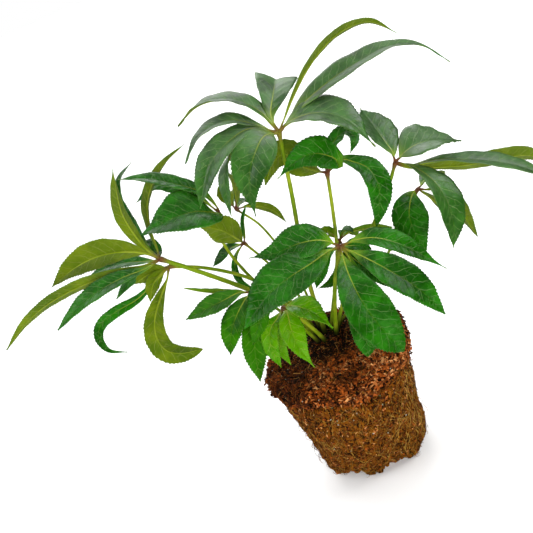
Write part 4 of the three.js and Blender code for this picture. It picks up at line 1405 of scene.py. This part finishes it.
        # husk that is near black in clods, round the crown and in painted shadow, rust brown
        # between, and straw where it is dry
        finish = DryFibre("coir_husk_chips", "#0b0502", "#9c4d18", "#d89c60").build()
        return bundle.piece("root_ball_chips", finish, smooth=False)

    def wander(
        self, angle: float, walked: float, length: float, drift: float, dice: random.Random
    ) -> list[Vector]:
        """A root's way over the skin.

        Args:
            angle: Where it starts round the axis.
            walked: Where it starts along the outline.
            length: How long it is in millimetres.
            drift: Its heading, where 0 is straight down.
            dice: The source of its bends.

        Returns:
            Its places in millimetres.
        """
        steps = max(4, round(length / 3.2))
        points = []
        for _ in range(steps + 1):
            spot = self.spot(angle, walked, 0.6)
            out = Vector((spot.x, spot.y, 0)).normalized() * dice.uniform(-0.25, 0.85)
            points.append(spot + out)
            drift += dice.gauss(0, 0.28)
            drift *= 0.93
            walked = max(self.walk_of(1.2), walked - math.cos(drift) * length / steps)
            angle += math.sin(drift) * length / steps / max(spot.xy.length, 12)
        return points

    def roots(self, dice: random.Random) -> bpy.types.Object:
        """Makes the mat of roots that shows on the wall, and long pale ones at its front."""
        bundle = Bundle()
        for _ in range(self.root_count):
            walked = self.walk_of(min(88, 5 + 84 * dice.random() ** 1.3))
            length = dice.uniform(7, 30) if dice.random() < 0.93 else dice.uniform(30, 70)
            angle, drift = dice.uniform(0, math.tau), dice.gauss(0, 0.5)
            points = self.wander(angle, walked, length, drift, dice)
            tint = dice.betavariate(1.1, 1.5)
            bundle.strand(points, dice.uniform(0.12, 0.36), 4, tint)
        for _ in range(self.long_root_count):
            angle, walked = dice.gauss(-0.75, 0.4), self.walk_of(dice.uniform(22, 88))
            points = self.wander(angle, walked, dice.uniform(18, 42), dice.gauss(0, 0.12), dice)
            bundle.strand(points, dice.uniform(0.3, 0.5), 4, dice.uniform(0.6, 1))
        # amber to straw, and a little smoother than husk
        finish = DryFibre("living_fine_roots", "#221004", "#7b4a0a", "#a17e36", 0.9).build()
        return bundle.piece("root_ball_roots", finish, smooth=True)

    def fibres(self, dice: random.Random) -> bpy.types.Object:
        """Makes the short stray fibres that stand out all over."""
        bundle = Bundle()
        for _ in range(self.fibre_count):
            on_top = dice.random() < 0.42
            walked = self.walk_on_top(4, dice) if on_top else self.walk_of(dice.uniform(2, 105))
            seat = self.seat(dice.uniform(0, math.tau), walked, dice.uniform(0, math.tau), 0)
            length = dice.uniform(2.5, 9)
            lift = dice.betavariate(1.3, 4) * length * 0.7
            bow, curl = dice.uniform(-1, 1) * length * 0.22, dice.uniform(-0.5, 0.5)
            points = []
            for share in (step / 5 for step in range(6)):
                arch = lift * math.sin(math.pi * share * 0.7)
                bend = bow * math.sin(3 * share + curl)
                place = seat @ Vector((length * (share - 0.5), bend, arch + 0.2))
                place.z = max(place.z, 0.3)
                points.append(place)
            bundle.strand(points, dice.uniform(0.12, 0.3), 3, dice.betavariate(1.2, 1.5))
        # dull brown threads, the palest of them catching the light
        finish = DryFibre("stray_coir_fibres", "#150802", "#743b0a", "#b07f41").build()
        return bundle.piece("root_ball_fibres", finish, smooth=True)

    def grains(self, dice: random.Random) -> bpy.types.Object:
        """Makes the grains of perlite, some of them greened by algae."""
        bundle = Bundle()
        for _ in range(self.grain_count):
            walked = dice.uniform(self.walk_of(8), self.girth - 20)
            seat = self.seat(dice.uniform(0, math.tau), walked, 0, 0)
            bundle.grain(seat.translation, dice.uniform(0.35, 0.95), dice.random(), dice)
        # chalky and grey-white, or grey-green where algae grow
        finish = DryFibre("perlite_grains", "#666a48", "#8c8a76", "#b0ada2", 0.8).build()
        return bundle.piece("root_ball_grains", finish, smooth=False)

    def build(self) -> None:
        """Makes the whole root ball."""
        dice = random.Random(self.seed)
        declare(self.core(), "root_ball", "root_ball")
        for make in (self.chips, self.roots, self.fibres, self.grains):
            declare(make(dice), "root_ball")


# ------------------------------------------------------------------------------- the studio


@dataclass(frozen=True)
class SoftLight:
    """A square soft box, aimed at the plant's middle, that shiny skins may or may not mirror."""

    name: str
    place: Triple
    size: float
    power: float
    mirrored: bool

    def build(self, target: Vector) -> None:
        """Hangs the light."""
        lamp = bpy.data.lights.new(self.name, "AREA")
        lamp.size = self.size
        lamp.energy = self.power
        holder = bpy.data.objects.new(self.name, lamp)
        holder.location = self.place
        holder.visible_glossy = self.mirrored
        holder.rotation_euler = (target - holder.location).to_track_quat("-Z", "Y").to_euler()
        bpy.context.scene.collection.objects.link(holder)


@dataclass
class Studio:
    """A pale floor, soft boxes and the camera."""

    frame_width: float = 426.4
    sensor: float = 36
    world: str = "#ffffff"
    world_strength: float = 1.0
    floor_radius: float = 2.3
    aim: Triple = (0, 0, 0.18)
    lights: tuple[SoftLight, ...] = (
        SoftLight("ceiling", (0.0, 2.0, 3.0), size=9.0, power=285, mirrored=False),
        SoftLight("fill", (0.0, -2.54, 0.72), size=2.2, power=124, mirrored=False),
        SoftLight("window", (-0.1, 1.75, 1.4), size=2.0, power=34, mirrored=True),
        SoftLight("right", (1.65, 0.1, 1.48), size=1.2, power=19, mirrored=True),
        SoftLight("left", (-1.6, -0.14, 1.53), size=1.2, power=13, mirrored=True),
    )

    def camera(self) -> None:
        """Sets the camera where the drawing board's eye is, turned as the board is."""
        data = bpy.data.cameras.new("camera")
        data.sensor_width = self.sensor
        data.lens = self.sensor * BOARD.eye / self.frame_width
        data.clip_end = 20
        camera = bpy.data.objects.new("camera", data)
        target = BOARD.place((0, 0, 0))
        turn = Matrix((BOARD.across, BOARD.up, BOARD.toward)).transposed()
        camera.matrix_world = Matrix.LocRotScale(
            target + BOARD.toward * BOARD.eye * MM, turn.to_quaternion(), None
        )
        bpy.context.scene.collection.objects.link(camera)
        bpy.context.scene.camera = camera

    def floor(self) -> None:
        """Lays a floor far wider than the plant."""
        bm = bmesh.new()
        bmesh.ops.create_circle(bm, cap_ends=True, radius=self.floor_radius, segments=96)
        floor = piece_from(bm, "floor", (PaleFloor().build(),))
        floor.visible_glossy = False

    def build(self) -> None:
        """Sets up the whole studio."""
        self.camera()
        self.floor()
        for light in self.lights:
            light.build(Vector(self.aim))
        scene = bpy.context.scene
        scene.world = bpy.data.worlds.new("soft_room")
        scene.world.use_nodes = True
        # the far wall is seen, but it doesn't light the plant or show in its wax
        scene.world.cycles_visibility.diffuse = False
        scene.world.cycles_visibility.glossy = False
        background = scene.world.node_tree.nodes["Background"]
        background.inputs["Color"].default_value = tone(self.world)
        background.inputs["Strength"].default_value = self.world_strength
        scene.view_settings.view_transform = "Standard"


# ------------------------------------------------------------------------------- the plant

# last year's skin: a wide greyish shine, and a painted grey sheen where it lies level
OLD_SHEENED = LaminaSkin(
    "old_leaf_upper", "#0c3504", "#295d0a", "#8aa85a", "#6a861c",
    vein_share=0.28, roughness=0.42, relief=-0.4, wax=0.95, painted_sheen_share=0.07,
)
# this year's: smooth wax with a tight gloss over deep green, and sunk veins
WAXY = LaminaSkin(
    "waxy_leaf_upper", "#062c01", "#1f6207", "#88ac64", "#6c8e1c",
    vein_share=0.25, roughness=0.26, relief=-0.6, wax=0.2,
)
# young skin: thinner wax, so it is lighter and less glossy
YOUNG = LaminaSkin(
    "young_leaf_upper", "#0a3401", "#275f01", "#7ca040", "#5c7c0c",
    vein_share=0.25, roughness=0.32, relief=-0.4, wax=0.1,
)
# skin that has just unfolded: yellow-green, with no painted sheen, and the deepest veins
NEWEST = LaminaSkin(
    "newest_leaf_upper", "#2f6a00", "#4f8400", "#b0c450", "#7c9412",
    vein_share=0.26, roughness=0.27, relief=-0.8, wax=0.28, painted_sheen_share=0.0,
)
# undersides: no gloss, an olive green, and veins that stand out under fine hairs
MATT_UNDER = LaminaSkin(
    "matt_leaf_underside", "#3b5403", "#5a6c08", "#7c863c", "#626c14",
    vein_share=0.5, roughness=0.6, relief=0.35, wax=0.15, hairs=0.06,
)
YOUNG_UNDER = LaminaSkin(
    "young_leaf_underside", "#406901", "#5b7a06", "#7e9040", "#647a14",
    vein_share=0.3, roughness=0.62, relief=0.2, wax=0.1,
)
# midribs are a duller green than the stems, and both turn purple-brown at the hub
MIDRIB = StemSkin("midrib_skin", "#7c8a22", "#66780f", "#58301f", "#3a2c16")
STEM = StemSkin("petiole_skin", "#808e1a", "#5f7a08", "#5a3622", "#38300f")


def main() -> None:
    """Builds the plant and its studio on the frame."""
    logging.basicConfig(level=logging.INFO, format="%(name)s: %(message)s")
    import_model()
    Studio().build()

    rib, stem = MIDRIB.build(), STEM.build()
    under, young_under = MATT_UNDER.build(), YOUNG_UNDER.build()
    skins = {
        Age.OLD: (OLD_SHEENED.build(), under, rib),
        Age.MATURE: (WAXY.build(), under, rib),
        Age.YOUNG: (YOUNG.build(), young_under, rib),
        Age.NEWEST: (NEWEST.build(), young_under, rib),
    }
    fan, petiole = LeafFan(), Petiole()
    for leaf in LEAVES:
        fan.build(leaf, skins[leaf.age])
        petiole.build(leaf, stem)
    RootBall().build()


if __name__ == "__main__":
    main()
